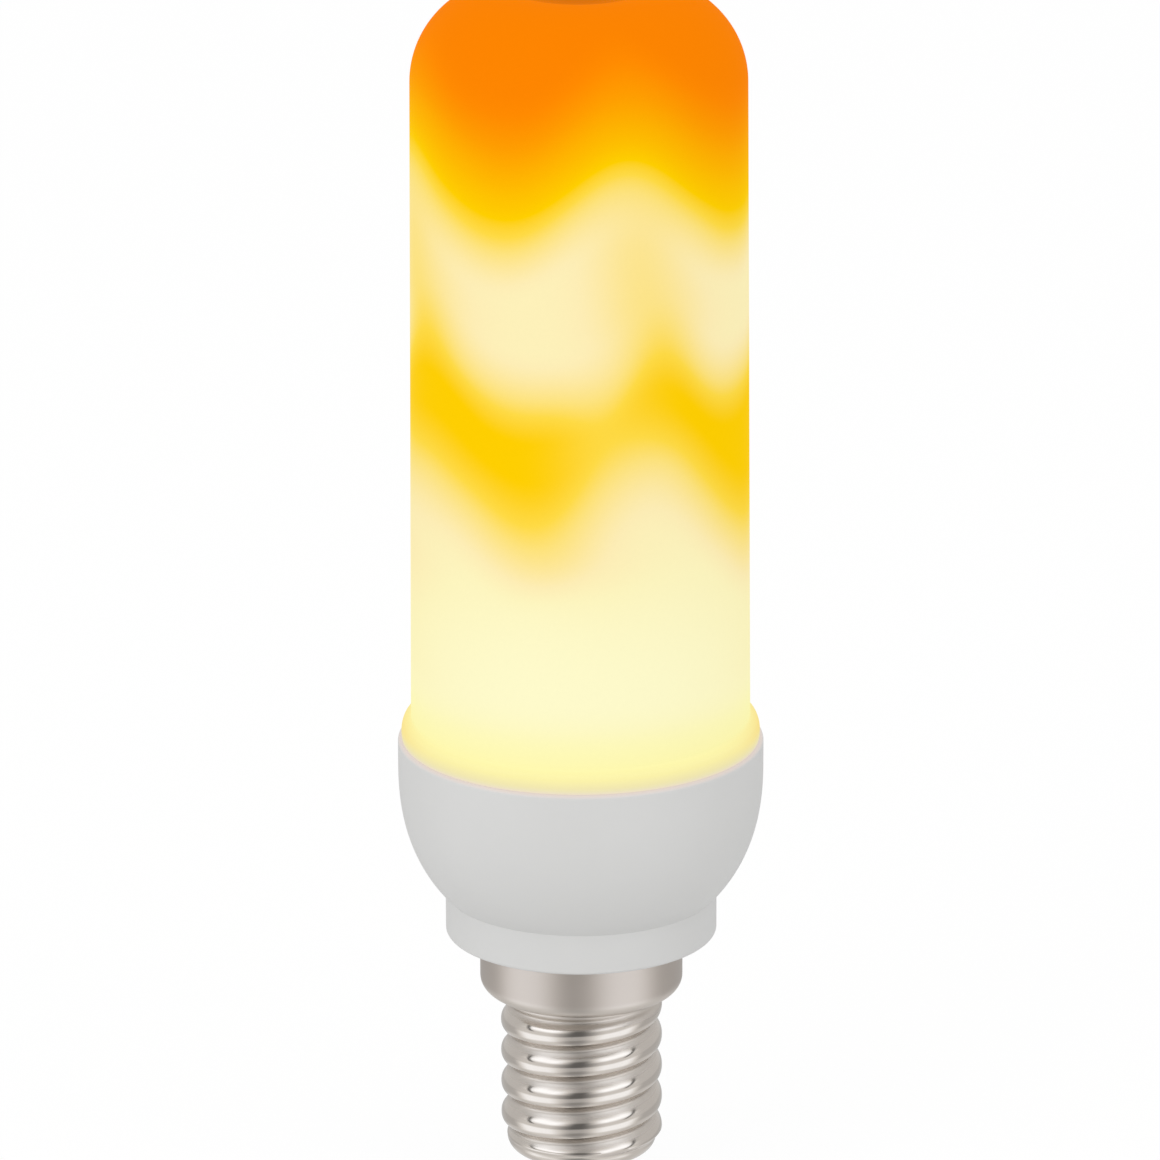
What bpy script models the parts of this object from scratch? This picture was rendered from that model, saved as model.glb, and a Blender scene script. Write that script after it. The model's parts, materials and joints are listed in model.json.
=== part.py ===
"""Flame effect LED bulb with a small Edison screw cap (E14), 108 mm tall.

Metres, +Z up. The lamp stands on its centre contact: the origin is the middle of the contact's
flat tip, and the Z axis is the lamp's axis. The front of the lamp faces -Y.
"""
import math

import bmesh
import bpy
from mathutils import Matrix, Vector

MM = 0.001

# Fits
GAP = 0.3 * MM                       # between pieces that touch or seat on each other
SHARP_ANGLE = math.radians(35)

# Screw cap, drawn from one sheet
SHEET = 0.3 * MM
CAP_HEIGHT = 25.0 * MM               # contact tip to the skirt's upper edge
THREAD_CREST_RADIUS = 6.9 * MM
THREAD_DEPTH = 0.75 * MM
THREAD_PITCH = 2.822 * MM
THREAD_FULLNESS = 0.45               # 0 gives even waves, more gives wide crests and narrow roots
FIRST_CREST_DROP = 2.95 * MM         # skirt's underside to the first crest on the -X side
THREAD_RUN_IN = 1.3 * MM
THREAD_RUN_OUT = 0.65 * MM
SKIRT_STEP = 1.75 * MM               # thread's crest to the skirt's outer face
SKIRT_HEIGHT = 5.05 * MM
SKIRT_CORNER = 1.2 * MM
NECK_FILLET = 0.45 * MM              # where the skirt's underside turns down into the thread
TOE_STEP = 0.5 * MM                  # thread's crest to the plain toe under it
TOE_CORNER = 1.2 * MM
TOE_HEIGHT = 5.3 * MM                # contact tip to the shell's lower face
TOE_LIP = 1.5 * MM                   # toe's outer face to the edge of the hole in its end

# Insulator and centre contact
INSULATOR_SHOULDER = 1.5 * MM        # thickness of its disc inside the shell
CONE_FOOT_RIM = 0.5 * MM             # contact's edge to the cone's lower edge
CONTACT_RADIUS = 2.4 * MM
CONTACT_THICKNESS = 0.9 * MM
CONTACT_EDGE = 0.4 * MM
PIN_RADIUS = 0.8 * MM
PIN_POINT = 0.7 * MM

# Base housing, one moulding: cup, collar and neck
CUP_RADIUS = 15.5 * MM
CUP_HEIGHT = 13.88 * MM              # rim to the top of the collar
CUP_UPRIGHT = 2.43 * MM              # straight part under the rim
CUP_FULLNESS = 2.3                   # exponent of the belly's superellipse
CUP_RIM_CORNER = 0.35 * MM
HOUSING_WALL = 1.6 * MM
COLLAR_RADIUS = 11.55 * MM
COLLAR_HEIGHT = 3.5 * MM
COLLAR_CORNER = 0.3 * MM
NECK_WALL = 1.2 * MM
WIRE_SPACE = 2.6 * MM                # insulator to the neck's lower end
SNAP_DEPTH = 2.0 * MM                # rim to the middle of the snap ridge
SNAP_RIDGE = 0.4 * MM
SNAP_HALF_HEIGHT = 0.5 * MM
RAIL_WIDTH = 1.0 * MM                # each lip of the slots that hold the driver board
RAIL_DEPTH = 1.3 * MM
RAIL_FLOOR = 0.55 * MM               # bottom of the slot to the wall
LEDGE_COUNT = 4
LEDGE_WIDTH = 1.4 * MM
LEDGE_REACH = 2.4 * MM               # ledge's inner edge to the control board's edge

# Diffuser
DIFFUSER_RISE = 65.32 * MM           # cup's rim to the flat top
DIFFUSER_DRAFT = 0.34 * MM           # how much narrower the shoulder is than the foot
DIFFUSER_CORNER = 8.0 * MM
DIFFUSER_WALL = 1.3 * MM
TOP_RECESS_DEPTH = 0.4 * MM
TOP_RECESS_RIM = 0.3 * MM
FLANGE_INSET = 0.3 * MM              # cup's outer face to the flange's
FLANGE_REACH = 0.83 * MM             # diffuser's foot to the flange's outer face
FLANGE_HEIGHT = 1.67 * MM
FLANGE_CORNER = 1.45 * MM
SPIGOT_TOE = 0.65 * MM               # snap ridge to the spigot's lower end

# Light engine
BOARD_THICKNESS = 1.2 * MM
CONTROL_BOARD_PLAY = 0.8 * MM        # board's edge to the mouth of the cup
LIGHT_GAP = 2.48 * MM                # LEDs to the diffuser's inner face
CORE_WALL = 1.2 * MM
CORE_HEADROOM = 3.8 * MM             # under the diffuser's top
CORE_FOOT_THICKNESS = 1.0 * MM
SEAM_RIB_WIDTH = 0.8 * MM
SEAM_RIB_HEIGHT = 0.5 * MM
FLEX_THICKNESS = 0.25 * MM
FLEX_LIFT = 4.0 * MM                 # core's foot to the flexible board's lower edge
FLEX_DROP = 2.0 * MM                 # core's top to the flexible board's upper edge
FLEX_TAIL_COLUMN = 1
LED_COLUMNS = 8
LED_ROWS = 7
LED_WIDTH = 2.8 * MM
LED_HEIGHT = 3.5 * MM
LED_THICKNESS = 0.8 * MM

# Driver board and what it carries
DRIVER_TAIL_PLAY = 0.75 * MM         # tail's edge to the neck's bore
DRIVER_TAIL_DROP = 2.0 * MM          # neck's lower end to the board's lower edge
HEADER_PINS = 4
HEADER_PITCH = 2.0 * MM
HEADER_DEPTH = 2.5 * MM
HEADER_HEIGHT = 1.5 * MM
HEADER_PIN = 0.6 * MM
CHIP_THICKNESS = 1.5 * MM
CHIP_WIDTH = 3.9 * MM
CONTROLLER_SIDE_LEGS = 8
DRIVER_SIDE_LEGS = 4
CHIP_LEG_PITCH = 1.27 * MM
CHIP_LEG_WIDTH = 0.4 * MM
CHIP_LEG_REACH = 0.9 * MM
CHIP_LEG_THICKNESS = 0.25 * MM
INPUT_CAPACITOR_RADIUS = 3.15 * MM
INPUT_CAPACITOR_LENGTH = 8.4 * MM
OUTPUT_CAPACITOR_RADIUS = 2.5 * MM
OUTPUT_CAPACITOR_LENGTH = 5.0 * MM
INDUCTOR_RADIUS = 2.7 * MM
INDUCTOR_LENGTH = 5.0 * MM
INDUCTOR_WAIST = 0.5 * MM
RESISTOR_RADIUS = 1.1 * MM
RESISTOR_LENGTH = 5.0 * MM
LEAD_RADIUS = 0.3 * MM
LEAD_LENGTH = 0.9 * MM
RECTIFIER_LENGTH = 4.7 * MM
DIODE_LENGTH = 4.3 * MM
DIODE_WIDTH = 2.6 * MM
SENSE_LENGTH = 2.0 * MM
SENSE_WIDTH = 1.25 * MM
SENSE_THICKNESS = 0.6 * MM
PART_SPACING = 0.6 * MM              # between parts in a row on a board
WIRE_JOINT = 2.2 * MM                # board's lower edge to where the wires are soldered
LIVE_WIRE_RADIUS = 0.5 * MM
NEUTRAL_WIRE_RADIUS = 0.4 * MM

# Facets
TURN_STEPS = 40
THREAD_STEPS = 30
THREAD_ROWS = 6                      # rows of faces in each pitch
CORE_STEPS = 32
BELLY_STEPS = 7                      # down the cup's belly
SMALL_STEPS = 24
TINY_STEPS = 16

# Radii that follow from the sizes above
THREAD_ROOT_RADIUS = THREAD_CREST_RADIUS - THREAD_DEPTH
SKIRT_RADIUS = THREAD_CREST_RADIUS + SKIRT_STEP
TOE_RADIUS = THREAD_CREST_RADIUS - TOE_STEP
NECK_RADIUS = THREAD_ROOT_RADIUS - SHEET - GAP
NECK_BORE = NECK_RADIUS - NECK_WALL
MOUTH_RADIUS = CUP_RADIUS - HOUSING_WALL
FLANGE_RADIUS = CUP_RADIUS - FLANGE_INSET
DIFFUSER_FOOT_RADIUS = FLANGE_RADIUS - FLANGE_REACH
DIFFUSER_SHOULDER_RADIUS = DIFFUSER_FOOT_RADIUS - DIFFUSER_DRAFT
LED_FACE_RADIUS = DIFFUSER_SHOULDER_RADIUS - DIFFUSER_WALL - LIGHT_GAP
FLEX_INNER_RADIUS = LED_FACE_RADIUS - LED_THICKNESS - FLEX_THICKNESS
CORE_RADIUS = FLEX_INNER_RADIUS - GAP
CONTROL_BOARD_RADIUS = MOUTH_RADIUS - CONTROL_BOARD_PLAY
DRIVER_HALF_WIDTH = COLLAR_RADIUS - HOUSING_WALL - RAIL_FLOOR - GAP
DRIVER_TAIL_HALF_WIDTH = NECK_BORE - DRIVER_TAIL_PLAY
BOARD_FACE = BOARD_THICKNESS / 2

# Heights that follow from the sizes above
INSULATOR_TOP = TOE_HEIGHT + SHEET + GAP + INSULATOR_SHOULDER
PIN_TOP = INSULATOR_TOP - GAP
NECK_FOOT = INSULATOR_TOP + WIRE_SPACE
DRIVER_FOOT = NECK_FOOT + DRIVER_TAIL_DROP
SKIRT_FOOT = CAP_HEIGHT - SKIRT_HEIGHT
COLLAR_FOOT = CAP_HEIGHT + GAP
COLLAR_TOP = COLLAR_FOOT + COLLAR_HEIGHT
CAVITY_FLOOR = COLLAR_FOOT + HOUSING_WALL
RIM = COLLAR_TOP + CUP_HEIGHT
SPIGOT_FOOT = RIM - SNAP_DEPTH - SNAP_HALF_HEIGHT - SPIGOT_TOE
CORE_FOOT_TOP = SPIGOT_FOOT - GAP
CORE_FOOT = CORE_FOOT_TOP - CORE_FOOT_THICKNESS
CONTROL_BOARD_TOP = CORE_FOOT - GAP
CONTROL_BOARD_FOOT = CONTROL_BOARD_TOP - BOARD_THICKNESS
DRIVER_TOP = CONTROL_BOARD_FOOT - GAP - HEADER_HEIGHT / 2
DIFFUSER_TOP = RIM + DIFFUSER_RISE
CORE_TOP = DIFFUSER_TOP - TOP_RECESS_DEPTH - DIFFUSER_WALL - CORE_HEADROOM
FLEX_FOOT = CORE_FOOT_TOP + FLEX_LIFT
FLEX_TOP = CORE_TOP - FLEX_DROP


def clear_scene():
    """Remove every object, so that only the lamp is left."""
    for obj in list(bpy.data.objects):
        bpy.data.objects.remove(obj, do_unlink=True)


def new_collection(name):
    """Make a collection in the scene."""
    collection = bpy.data.collections.new(name)
    bpy.context.scene.collection.children.link(collection)
    return collection


def new_material(name, colour, roughness, metallic=0.0, glow=0.0):
    """Make a Principled material, with its own light where glow is above 0."""
    material = bpy.data.materials.new(name)
    material.use_nodes = True
    shader = material.node_tree.nodes["Principled BSDF"]
    shader.inputs["Base Color"].default_value = (*colour, 1.0)
    shader.inputs["Roughness"].default_value = roughness
    shader.inputs["Metallic"].default_value = metallic
    if glow:
        shader.inputs["Emission Color"].default_value = (*colour, 1.0)
        shader.inputs["Emission Strength"].default_value = glow
    return material


def new_object(name, mesh, material=None):
    """Put a mesh in the lamp's collection under a plain name."""
    obj = bpy.data.objects.new(name, mesh)
    LAMP.objects.link(obj)
    if material:
        mesh.materials.append(material)
    return obj


def make_cutter(obj):
    """Move an object that only cuts or joins another out of the lamp."""
    LAMP.objects.unlink(obj)
    CUTTERS.objects.link(obj)
    obj.hide_render = True
    obj.display_type = "WIRE"
    return obj


def add_boolean(obj, other, operation):
    """Cut an object by another one or join the two."""
    modifier = obj.modifiers.new(operation.lower(), "BOOLEAN")
    modifier.object = make_cutter(other)
    modifier.operation = operation
    modifier.solver = "EXACT"


def smooth(mesh):
    """Shade a mesh smooth up to its sharp edges."""
    mesh.shade_smooth()
    mesh.set_sharp_from_angle(angle=SHARP_ANGLE)


def settle(obj):
    """Turn an object's modifiers into its mesh, shaded smooth."""
    depsgraph = bpy.context.evaluated_depsgraph_get()
    mesh = bpy.data.meshes.new_from_object(obj.evaluated_get(depsgraph))
    obj.modifiers.clear()
    obj.data = mesh
    smooth(mesh)
    return obj


def arc(centre, radii, start, end, steps):
    """Points on an ellipse's arc in the (radius, height) plane, from start to end in degrees."""
    points = []
    for step in range(steps + 1):
        angle = math.radians(start + (end - start) * step / steps)
        points.append((centre[0] + radii[0] * math.cos(angle), centre[1] + radii[1] * math.sin(angle)))
    return points


def turned(name, outline, material, closed=False, steps=TURN_STEPS):
    """Turn an outline of (radius, height) points round the Z axis.

    The outline runs down the outer side. It starts and ends on the axis, or is a closed loop.
    """
    mesh = bpy.data.meshes.new(name)
    vertices = [(radius, 0.0, height) for radius, height in outline]
    edges = [(index, index + 1) for index in range(len(outline) - 1)]
    if closed:
        edges.append((len(outline) - 1, 0))
    mesh.from_pydata(vertices, edges, [])
    obj = new_object(name, mesh, material)
    screw = obj.modifiers.new("turn", "SCREW")
    screw.axis = "Z"
    screw.angle = 2 * math.pi
    screw.steps = steps
    screw.render_steps = steps
    screw.use_merge_vertices = True
    screw.merge_threshold = 0.001 * MM
    return settle(obj)


def boxes(name, sizes_and_centres, material=None):
    """One mesh of plain boxes that stand clear of each other."""
    mesh = bpy.data.meshes.new(name)
    form = bmesh.new()
    for size, centre in sizes_and_centres:
        matrix = Matrix.Translation(centre) @ Matrix.Diagonal((*size, 1.0))
        bmesh.ops.create_cube(form, size=1.0, matrix=matrix)
    form.to_mesh(mesh)
    form.free()
    return new_object(name, mesh, material)


def rods(name, radius, ends, material=None, steps=TINY_STEPS):
    """One mesh of straight round rods, each given by its two ends."""
    mesh = bpy.data.meshes.new(name)
    form = bmesh.new()
    for start, end in ends:
        run = Vector(end) - Vector(start)
        middle = (Vector(end) + Vector(start)) / 2
        turn = run.to_track_quat("Z", "Y").to_matrix().to_4x4()
        bmesh.ops.create_cone(
            form, cap_ends=True, segments=steps, radius1=radius, radius2=radius,
            depth=run.length, matrix=Matrix.Translation(middle) @ turn)
    form.to_mesh(mesh)
    form.free()
    return new_object(name, mesh, material)


def wire(name, radius, route, material, points_per_run=4):
    """A round wire along a smooth curve through the route's points."""
    points = []
    for index in range(len(route) - 1):
        before = Vector(route[max(index - 1, 0)])
        start = Vector(route[index])
        end = Vector(route[index + 1])
        after = Vector(route[min(index + 2, len(route) - 1)])
        for step in range(points_per_run):
            t = step / points_per_run
            points.append(0.5 * (2 * start + (end - before) * t
                                 + (2 * before - 5 * start + 4 * end - after) * t ** 2
                                 + (3 * start - before - 3 * end + after) * t ** 3))
    points.append(Vector(route[-1]))
    curve = bpy.data.curves.new(name, "CURVE")
    curve.dimensions = "3D"
    curve.bevel_depth = radius
    curve.bevel_resolution = 2
    curve.use_fill_caps = True
    spline = curve.splines.new("POLY")
    spline.points.add(len(points) - 1)
    for target, point in zip(spline.points, points):
        target.co = (*point, 1.0)
    obj = bpy.data.objects.new(name, curve)
    LAMP.objects.link(obj)
    curve.materials.append(material)
    return obj


def thread_strength(height):
    """How deep the thread is at a height: 0 where it starts and ends, 1 between."""
    run_in = (SKIRT_FOOT - NECK_FILLET - height) / (THREAD_RUN_IN - NECK_FILLET)
    run_out = (height - TOE_HEIGHT - TOE_CORNER) / THREAD_RUN_OUT
    share = max(0.0, min(1.0, run_in, run_out))
    return share * share * (3 - 2 * share)


def thread_radius(height, angle):
    """Outer radius of the rolled thread: a right-hand helix of equal crests and roots."""
    middle = (THREAD_CREST_RADIUS + THREAD_ROOT_RADIUS) / 2
    depth = (THREAD_CREST_RADIUS - THREAD_ROOT_RADIUS) / 2
    strength = thread_strength(height)
    if height < SKIRT_FOOT - THREAD_RUN_IN:
        middle = TOE_RADIUS + (middle - TOE_RADIUS) * strength
    crest = SKIRT_FOOT - FIRST_CREST_DROP
    phase = 2 * math.pi * (height - crest) / THREAD_PITCH - (angle - math.pi)
    return middle + depth * strength * math.cos(phase - THREAD_FULLNESS * math.sin(phase))


def shell_rows():
    """Rows of the cap's outer face from the skirt's edge down, as (radius or None, height).

    None stands for the thread, whose radius changes round the row.
    """
    skirt_turn = arc((SKIRT_RADIUS - SKIRT_CORNER, SKIRT_FOOT + SKIRT_CORNER),
                     (SKIRT_CORNER, SKIRT_CORNER), 0, -90, 4)
    neck = (THREAD_CREST_RADIUS + THREAD_ROOT_RADIUS) / 2
    neck_turn = arc((neck + NECK_FILLET, SKIRT_FOOT - NECK_FILLET),
                    (NECK_FILLET, NECK_FILLET), 90, 180, 2)
    top = SKIRT_FOOT - NECK_FILLET
    foot = TOE_HEIGHT + TOE_CORNER
    count = round((top - foot) / THREAD_PITCH * THREAD_ROWS)
    thread = [(None, top + (foot - top) * row / count) for row in range(1, count)]
    toe_turn = arc((TOE_RADIUS - TOE_CORNER, foot), (TOE_CORNER, TOE_CORNER), 0, -90, 4)
    lip = [(TOE_RADIUS - TOE_LIP, TOE_HEIGHT)]
    return [(SKIRT_RADIUS, CAP_HEIGHT)] + skirt_turn + neck_turn + thread + toe_turn + lip


def make_cap_shell():
    """Skirt, rolled thread and toe of the screw cap, one even sheet."""
    rows = shell_rows()
    form = bmesh.new()
    bmesh.ops.create_grid(form, x_segments=THREAD_STEPS, y_segments=len(rows) - 1, size=0.5)
    for vertex in form.verts:
        turn = (vertex.co.x + 0.5) * 2 * math.pi
        radius, height = rows[round((0.5 - vertex.co.y) * (len(rows) - 1))]
        if radius is None:
            radius = thread_radius(height, turn)
        vertex.co = (radius * math.cos(turn), radius * math.sin(turn), height)
    bmesh.ops.remove_doubles(form, verts=form.verts, dist=0.001 * MM)
    mesh = bpy.data.meshes.new("cap_shell")
    form.to_mesh(mesh)
    form.free()
    shell = new_object("cap_shell", mesh, NICKEL)
    sheet = shell.modifiers.new("sheet", "SOLIDIFY")
    sheet.thickness = SHEET
    sheet.offset = -1.0
    sheet.use_even_offset = True
    return settle(shell)


def make_cap_insulator():
    """Dark cone that closes the shell's end and keeps the centre contact apart from it."""
    shoulder_foot = TOE_HEIGHT + SHEET + GAP
    shoulder_radius = THREAD_ROOT_RADIUS - SHEET - GAP
    waist_radius = TOE_RADIUS - TOE_LIP - GAP
    cone_foot = CONTACT_THICKNESS + GAP
    bore = PIN_RADIUS + GAP
    outline = [
        (bore, INSULATOR_TOP), (shoulder_radius, INSULATOR_TOP),
        (shoulder_radius, shoulder_foot + TOE_CORNER / 2),
        (shoulder_radius - TOE_CORNER / 2, shoulder_foot),
        (waist_radius, shoulder_foot), (waist_radius, TOE_HEIGHT - SHEET),
        (CONTACT_RADIUS + CONE_FOOT_RIM, cone_foot), (bore, cone_foot)]
    return turned("cap_insulator", outline, BLACK_GLASS, closed=True, steps=SMALL_STEPS)


def make_centre_contact():
    """Round contact with a flat tip and a pin pressed into the insulator."""
    outline = [
        (0.0, PIN_TOP), (PIN_RADIUS, PIN_TOP - PIN_POINT), (PIN_RADIUS, CONTACT_THICKNESS),
        (CONTACT_RADIUS, CONTACT_THICKNESS), (CONTACT_RADIUS, CONTACT_EDGE),
        (CONTACT_RADIUS - CONTACT_EDGE * 0.3, CONTACT_EDGE * 0.3),
        (CONTACT_RADIUS - CONTACT_EDGE, 0.0), (0.0, 0.0)]
    return turned("centre_contact", outline, NICKEL, steps=SMALL_STEPS)


def belly_radius(height):
    """Outer radius of the cup: upright under the rim, then a superellipse down to the collar."""
    depth = max(0.0, RIM - CUP_UPRIGHT - height)
    end = (1 - (COLLAR_RADIUS / CUP_RADIUS) ** CUP_FULLNESS) ** (1 / CUP_FULLNESS)
    share = end * depth / (CUP_HEIGHT - CUP_UPRIGHT)
    return CUP_RADIUS * (1 - share ** CUP_FULLNESS) ** (1 / CUP_FULLNESS)


def belly_slope(height):
    """How much the cup's radius grows with height."""
    step = 0.01 * MM
    return (belly_radius(height + step) - belly_radius(height)) / step


def belly_heights(steps):
    """Heights down the belly, closer together where it curves most."""
    span = CUP_HEIGHT - CUP_UPRIGHT
    return [COLLAR_TOP + span * (1 - step / steps) ** 1.25 for step in range(steps + 1)]


def housing_outline():
    """Section of the cup, collar and neck, with the groove for the diffuser's snap ridge."""
    rim = arc((CUP_RADIUS - CUP_RIM_CORNER, RIM - CUP_RIM_CORNER),
              (CUP_RIM_CORNER, CUP_RIM_CORNER), 90, 0, 3)
    outer = [(belly_radius(height), height) for height in belly_heights(BELLY_STEPS)]
    collar = [(COLLAR_RADIUS, COLLAR_FOOT + COLLAR_CORNER), (COLLAR_RADIUS - COLLAR_CORNER, COLLAR_FOOT)]
    spigot_radius = SKIRT_RADIUS - SHEET - GAP
    step = SKIRT_FOOT + SHEET + GAP
    chamfer = SKIRT_CORNER * 0.7
    neck = [
        (spigot_radius, COLLAR_FOOT), (spigot_radius, step + chamfer), (spigot_radius - chamfer, step),
        (NECK_RADIUS, step), (NECK_RADIUS, NECK_FOOT), (NECK_BORE, NECK_FOOT),
        (NECK_BORE, CAVITY_FLOOR)]
    corner = math.atan(belly_slope(COLLAR_TOP))
    inner = [(COLLAR_RADIUS - HOUSING_WALL, CAVITY_FLOOR),
             (COLLAR_RADIUS - HOUSING_WALL, COLLAR_TOP + HOUSING_WALL * math.tan(corner / 2))]
    for height in reversed(belly_heights(BELLY_STEPS // 2 + 1)[:-1]):
        slope = math.atan(belly_slope(height))
        inner.append((belly_radius(height) - HOUSING_WALL * math.cos(slope),
                      height + HOUSING_WALL * math.sin(slope)))
    snap = RIM - SNAP_DEPTH
    foot = SNAP_HALF_HEIGHT + GAP
    crown = SNAP_HALF_HEIGHT - SNAP_RIDGE + GAP
    groove = [
        (MOUTH_RADIUS, snap - foot), (MOUTH_RADIUS + SNAP_RIDGE, snap - crown),
        (MOUTH_RADIUS + SNAP_RIDGE, snap + crown), (MOUTH_RADIUS, snap + foot)]
    inner = [point for point in inner if point[1] < groove[0][1] - GAP]
    return rim + outer + collar + neck + inner + groove + [(MOUTH_RADIUS, RIM)]


def rail_blocks():
    """Blocks on both sides of the cavity that the driver board slides between."""
    inner = DRIVER_HALF_WIDTH - RAIL_DEPTH
    outer = COLLAR_RADIUS - HOUSING_WALL / 2
    foot = CAVITY_FLOOR - HOUSING_WALL / 2
    top = COLLAR_TOP + HOUSING_WALL
    size = (outer - inner, BOARD_THICKNESS + 2 * (GAP + RAIL_WIDTH), top - foot)
    middle = (outer + inner) / 2
    return boxes("rail_blocks", [(size, (side * middle, 0.0, (top + foot) / 2)) for side in (-1, 1)])


def rail_slot():
    """The gap that both rails leave for the driver board."""
    reach = DRIVER_HALF_WIDTH + GAP
    width = BOARD_THICKNESS + 2 * GAP
    height = DRIVER_TOP - CAVITY_FLOOR
    return boxes("rail_slot", [((2 * reach, width, height), (0.0, 0.0, CAVITY_FLOOR + height / 2))])


def board_ledges():
    """Ribs up the cup's inside that the control board rests on."""
    top = CONTROL_BOARD_FOOT - GAP
    shoulder = top - LEDGE_REACH
    foot = COLLAR_TOP + HOUSING_WALL
    section = [(CONTROL_BOARD_RADIUS - LEDGE_REACH, top)]
    section += [(belly_radius(height) - HOUSING_WALL / 2, height) for height in (top, shoulder, foot)]
    mesh = bpy.data.meshes.new("board_ledges")
    form = bmesh.new()
    for index in range(LEDGE_COUNT):
        turn = Matrix.Rotation(2 * math.pi * (index + 0.5) / LEDGE_COUNT, 4, "Z")
        sides = []
        for side in (-0.5, 0.5):
            sides.append([form.verts.new(turn @ Vector((radius, side * LEDGE_WIDTH, height)))
                          for radius, height in section])
        form.faces.new(sides[0])
        form.faces.new(reversed(sides[1]))
        for corner in range(len(section)):
            after = (corner + 1) % len(section)
            form.faces.new((sides[0][after], sides[0][corner], sides[1][corner], sides[1][after]))
    bmesh.ops.recalc_face_normals(form, faces=form.faces)
    form.to_mesh(mesh)
    form.free()
    return new_object("board_ledges", mesh)


def make_base_housing():
    """Cup, collar and neck in one moulding, with rails and ledges for the boards inside."""
    housing = turned("base_housing", housing_outline(), WHITE_PLASTIC, closed=True)
    add_boolean(housing, rail_blocks(), "UNION")
    add_boolean(housing, rail_slot(), "DIFFERENCE")
    add_boolean(housing, board_ledges(), "UNION")
    return settle(housing)


def make_diffuser():
    """Frosted tube with a round shoulder, a flange on the cup's rim and a snap spigot."""
    flat_radius = DIFFUSER_SHOULDER_RADIUS - DIFFUSER_CORNER
    recess_radius = flat_radius - TOP_RECESS_RIM
    recess_floor = DIFFUSER_TOP - TOP_RECESS_DEPTH
    corner = (flat_radius, DIFFUSER_TOP - DIFFUSER_CORNER)
    flange_foot = RIM + GAP
    flange_top = flange_foot + FLANGE_HEIGHT
    spigot_radius = MOUTH_RADIUS - GAP
    snap = RIM - SNAP_DEPTH
    crown = SNAP_HALF_HEIGHT - SNAP_RIDGE
    top = [(0.0, recess_floor), (recess_radius - TOP_RECESS_DEPTH, recess_floor),
           (recess_radius, DIFFUSER_TOP)]
    shoulder = arc(corner, (DIFFUSER_CORNER, DIFFUSER_CORNER), 90, 0, 7)
    flange = arc((DIFFUSER_FOOT_RADIUS, flange_top - FLANGE_CORNER),
                 (FLANGE_REACH, FLANGE_CORNER), 90, 0, 4)
    flange += [(FLANGE_RADIUS, flange_foot), (spigot_radius, flange_foot)]
    ridge = [(spigot_radius, snap + SNAP_HALF_HEIGHT), (spigot_radius + SNAP_RIDGE, snap + crown),
             (spigot_radius + SNAP_RIDGE, snap - crown), (spigot_radius, snap - SNAP_HALF_HEIGHT)]
    inner_corner = DIFFUSER_CORNER - DIFFUSER_WALL
    inner_radius = spigot_radius - DIFFUSER_WALL
    inside = [(spigot_radius, SPIGOT_FOOT), (inner_radius, SPIGOT_FOOT), (inner_radius, flange_foot),
              (DIFFUSER_FOOT_RADIUS - DIFFUSER_WALL, flange_top)]
    ceiling = arc(corner, (inner_corner, inner_corner), 0, 90, 4)
    ceiling[-1] = (ceiling[-1][0], recess_floor - DIFFUSER_WALL)
    ceiling.append((0.0, recess_floor - DIFFUSER_WALL))
    outline = top + shoulder + flange + ridge + inside + ceiling
    return turned("diffuser", outline, FROSTED)


def make_led_core():
    """Plastic former that carries the rolled board, closed on top, with a wide foot."""
    inner = CORE_RADIUS - CORE_WALL
    ceiling = CORE_TOP - CORE_WALL
    outline = [
        (0.0, CORE_TOP), (inner, CORE_TOP), (CORE_RADIUS, ceiling), (CORE_RADIUS, CORE_FOOT_TOP),
        (CONTROL_BOARD_RADIUS, CORE_FOOT_TOP), (CONTROL_BOARD_RADIUS, CORE_FOOT),
        (inner, CORE_FOOT), (inner, ceiling), (0.0, ceiling)]
    core = turned("led_core", outline, WHITE_PLASTIC, steps=CORE_STEPS)
    rib_size = (SEAM_RIB_WIDTH, SEAM_RIB_HEIGHT + CORE_WALL / 2, FLEX_TOP - FLEX_FOOT)
    rib_centre = (0.0, CORE_RADIUS + SEAM_RIB_HEIGHT / 2 - CORE_WALL / 4, (FLEX_TOP + FLEX_FOOT) / 2)
    add_boolean(core, boxes("seam_rib", [(rib_size, rib_centre)]), "UNION")
    angle = flex_column_angle(FLEX_TAIL_COLUMN)
    width = LED_WIDTH + 2 * GAP
    depth = CONTROL_BOARD_RADIUS - CORE_RADIUS
    notch = boxes("tail_notch", [((2 * depth, width, 4 * CORE_FOOT_THICKNESS),
                                  (CORE_RADIUS + GAP / 2 + depth, 0.0, CORE_FOOT))])
    notch.matrix_world = Matrix.Rotation(angle, 4, "Z")
    add_boolean(core, notch, "DIFFERENCE")
    return settle(core)


def flex_seam():
    """Angle at the back of the core that the rolled board leaves open for the rib."""
    return (SEAM_RIB_WIDTH + 2 * GAP) / FLEX_INNER_RADIUS


def flex_column_angle(column):
    """Direction in which a column of LEDs faces."""
    span = 2 * math.pi - flex_seam()
    return math.pi / 2 + flex_seam() / 2 + span * (column + 0.5) / LED_COLUMNS


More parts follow.
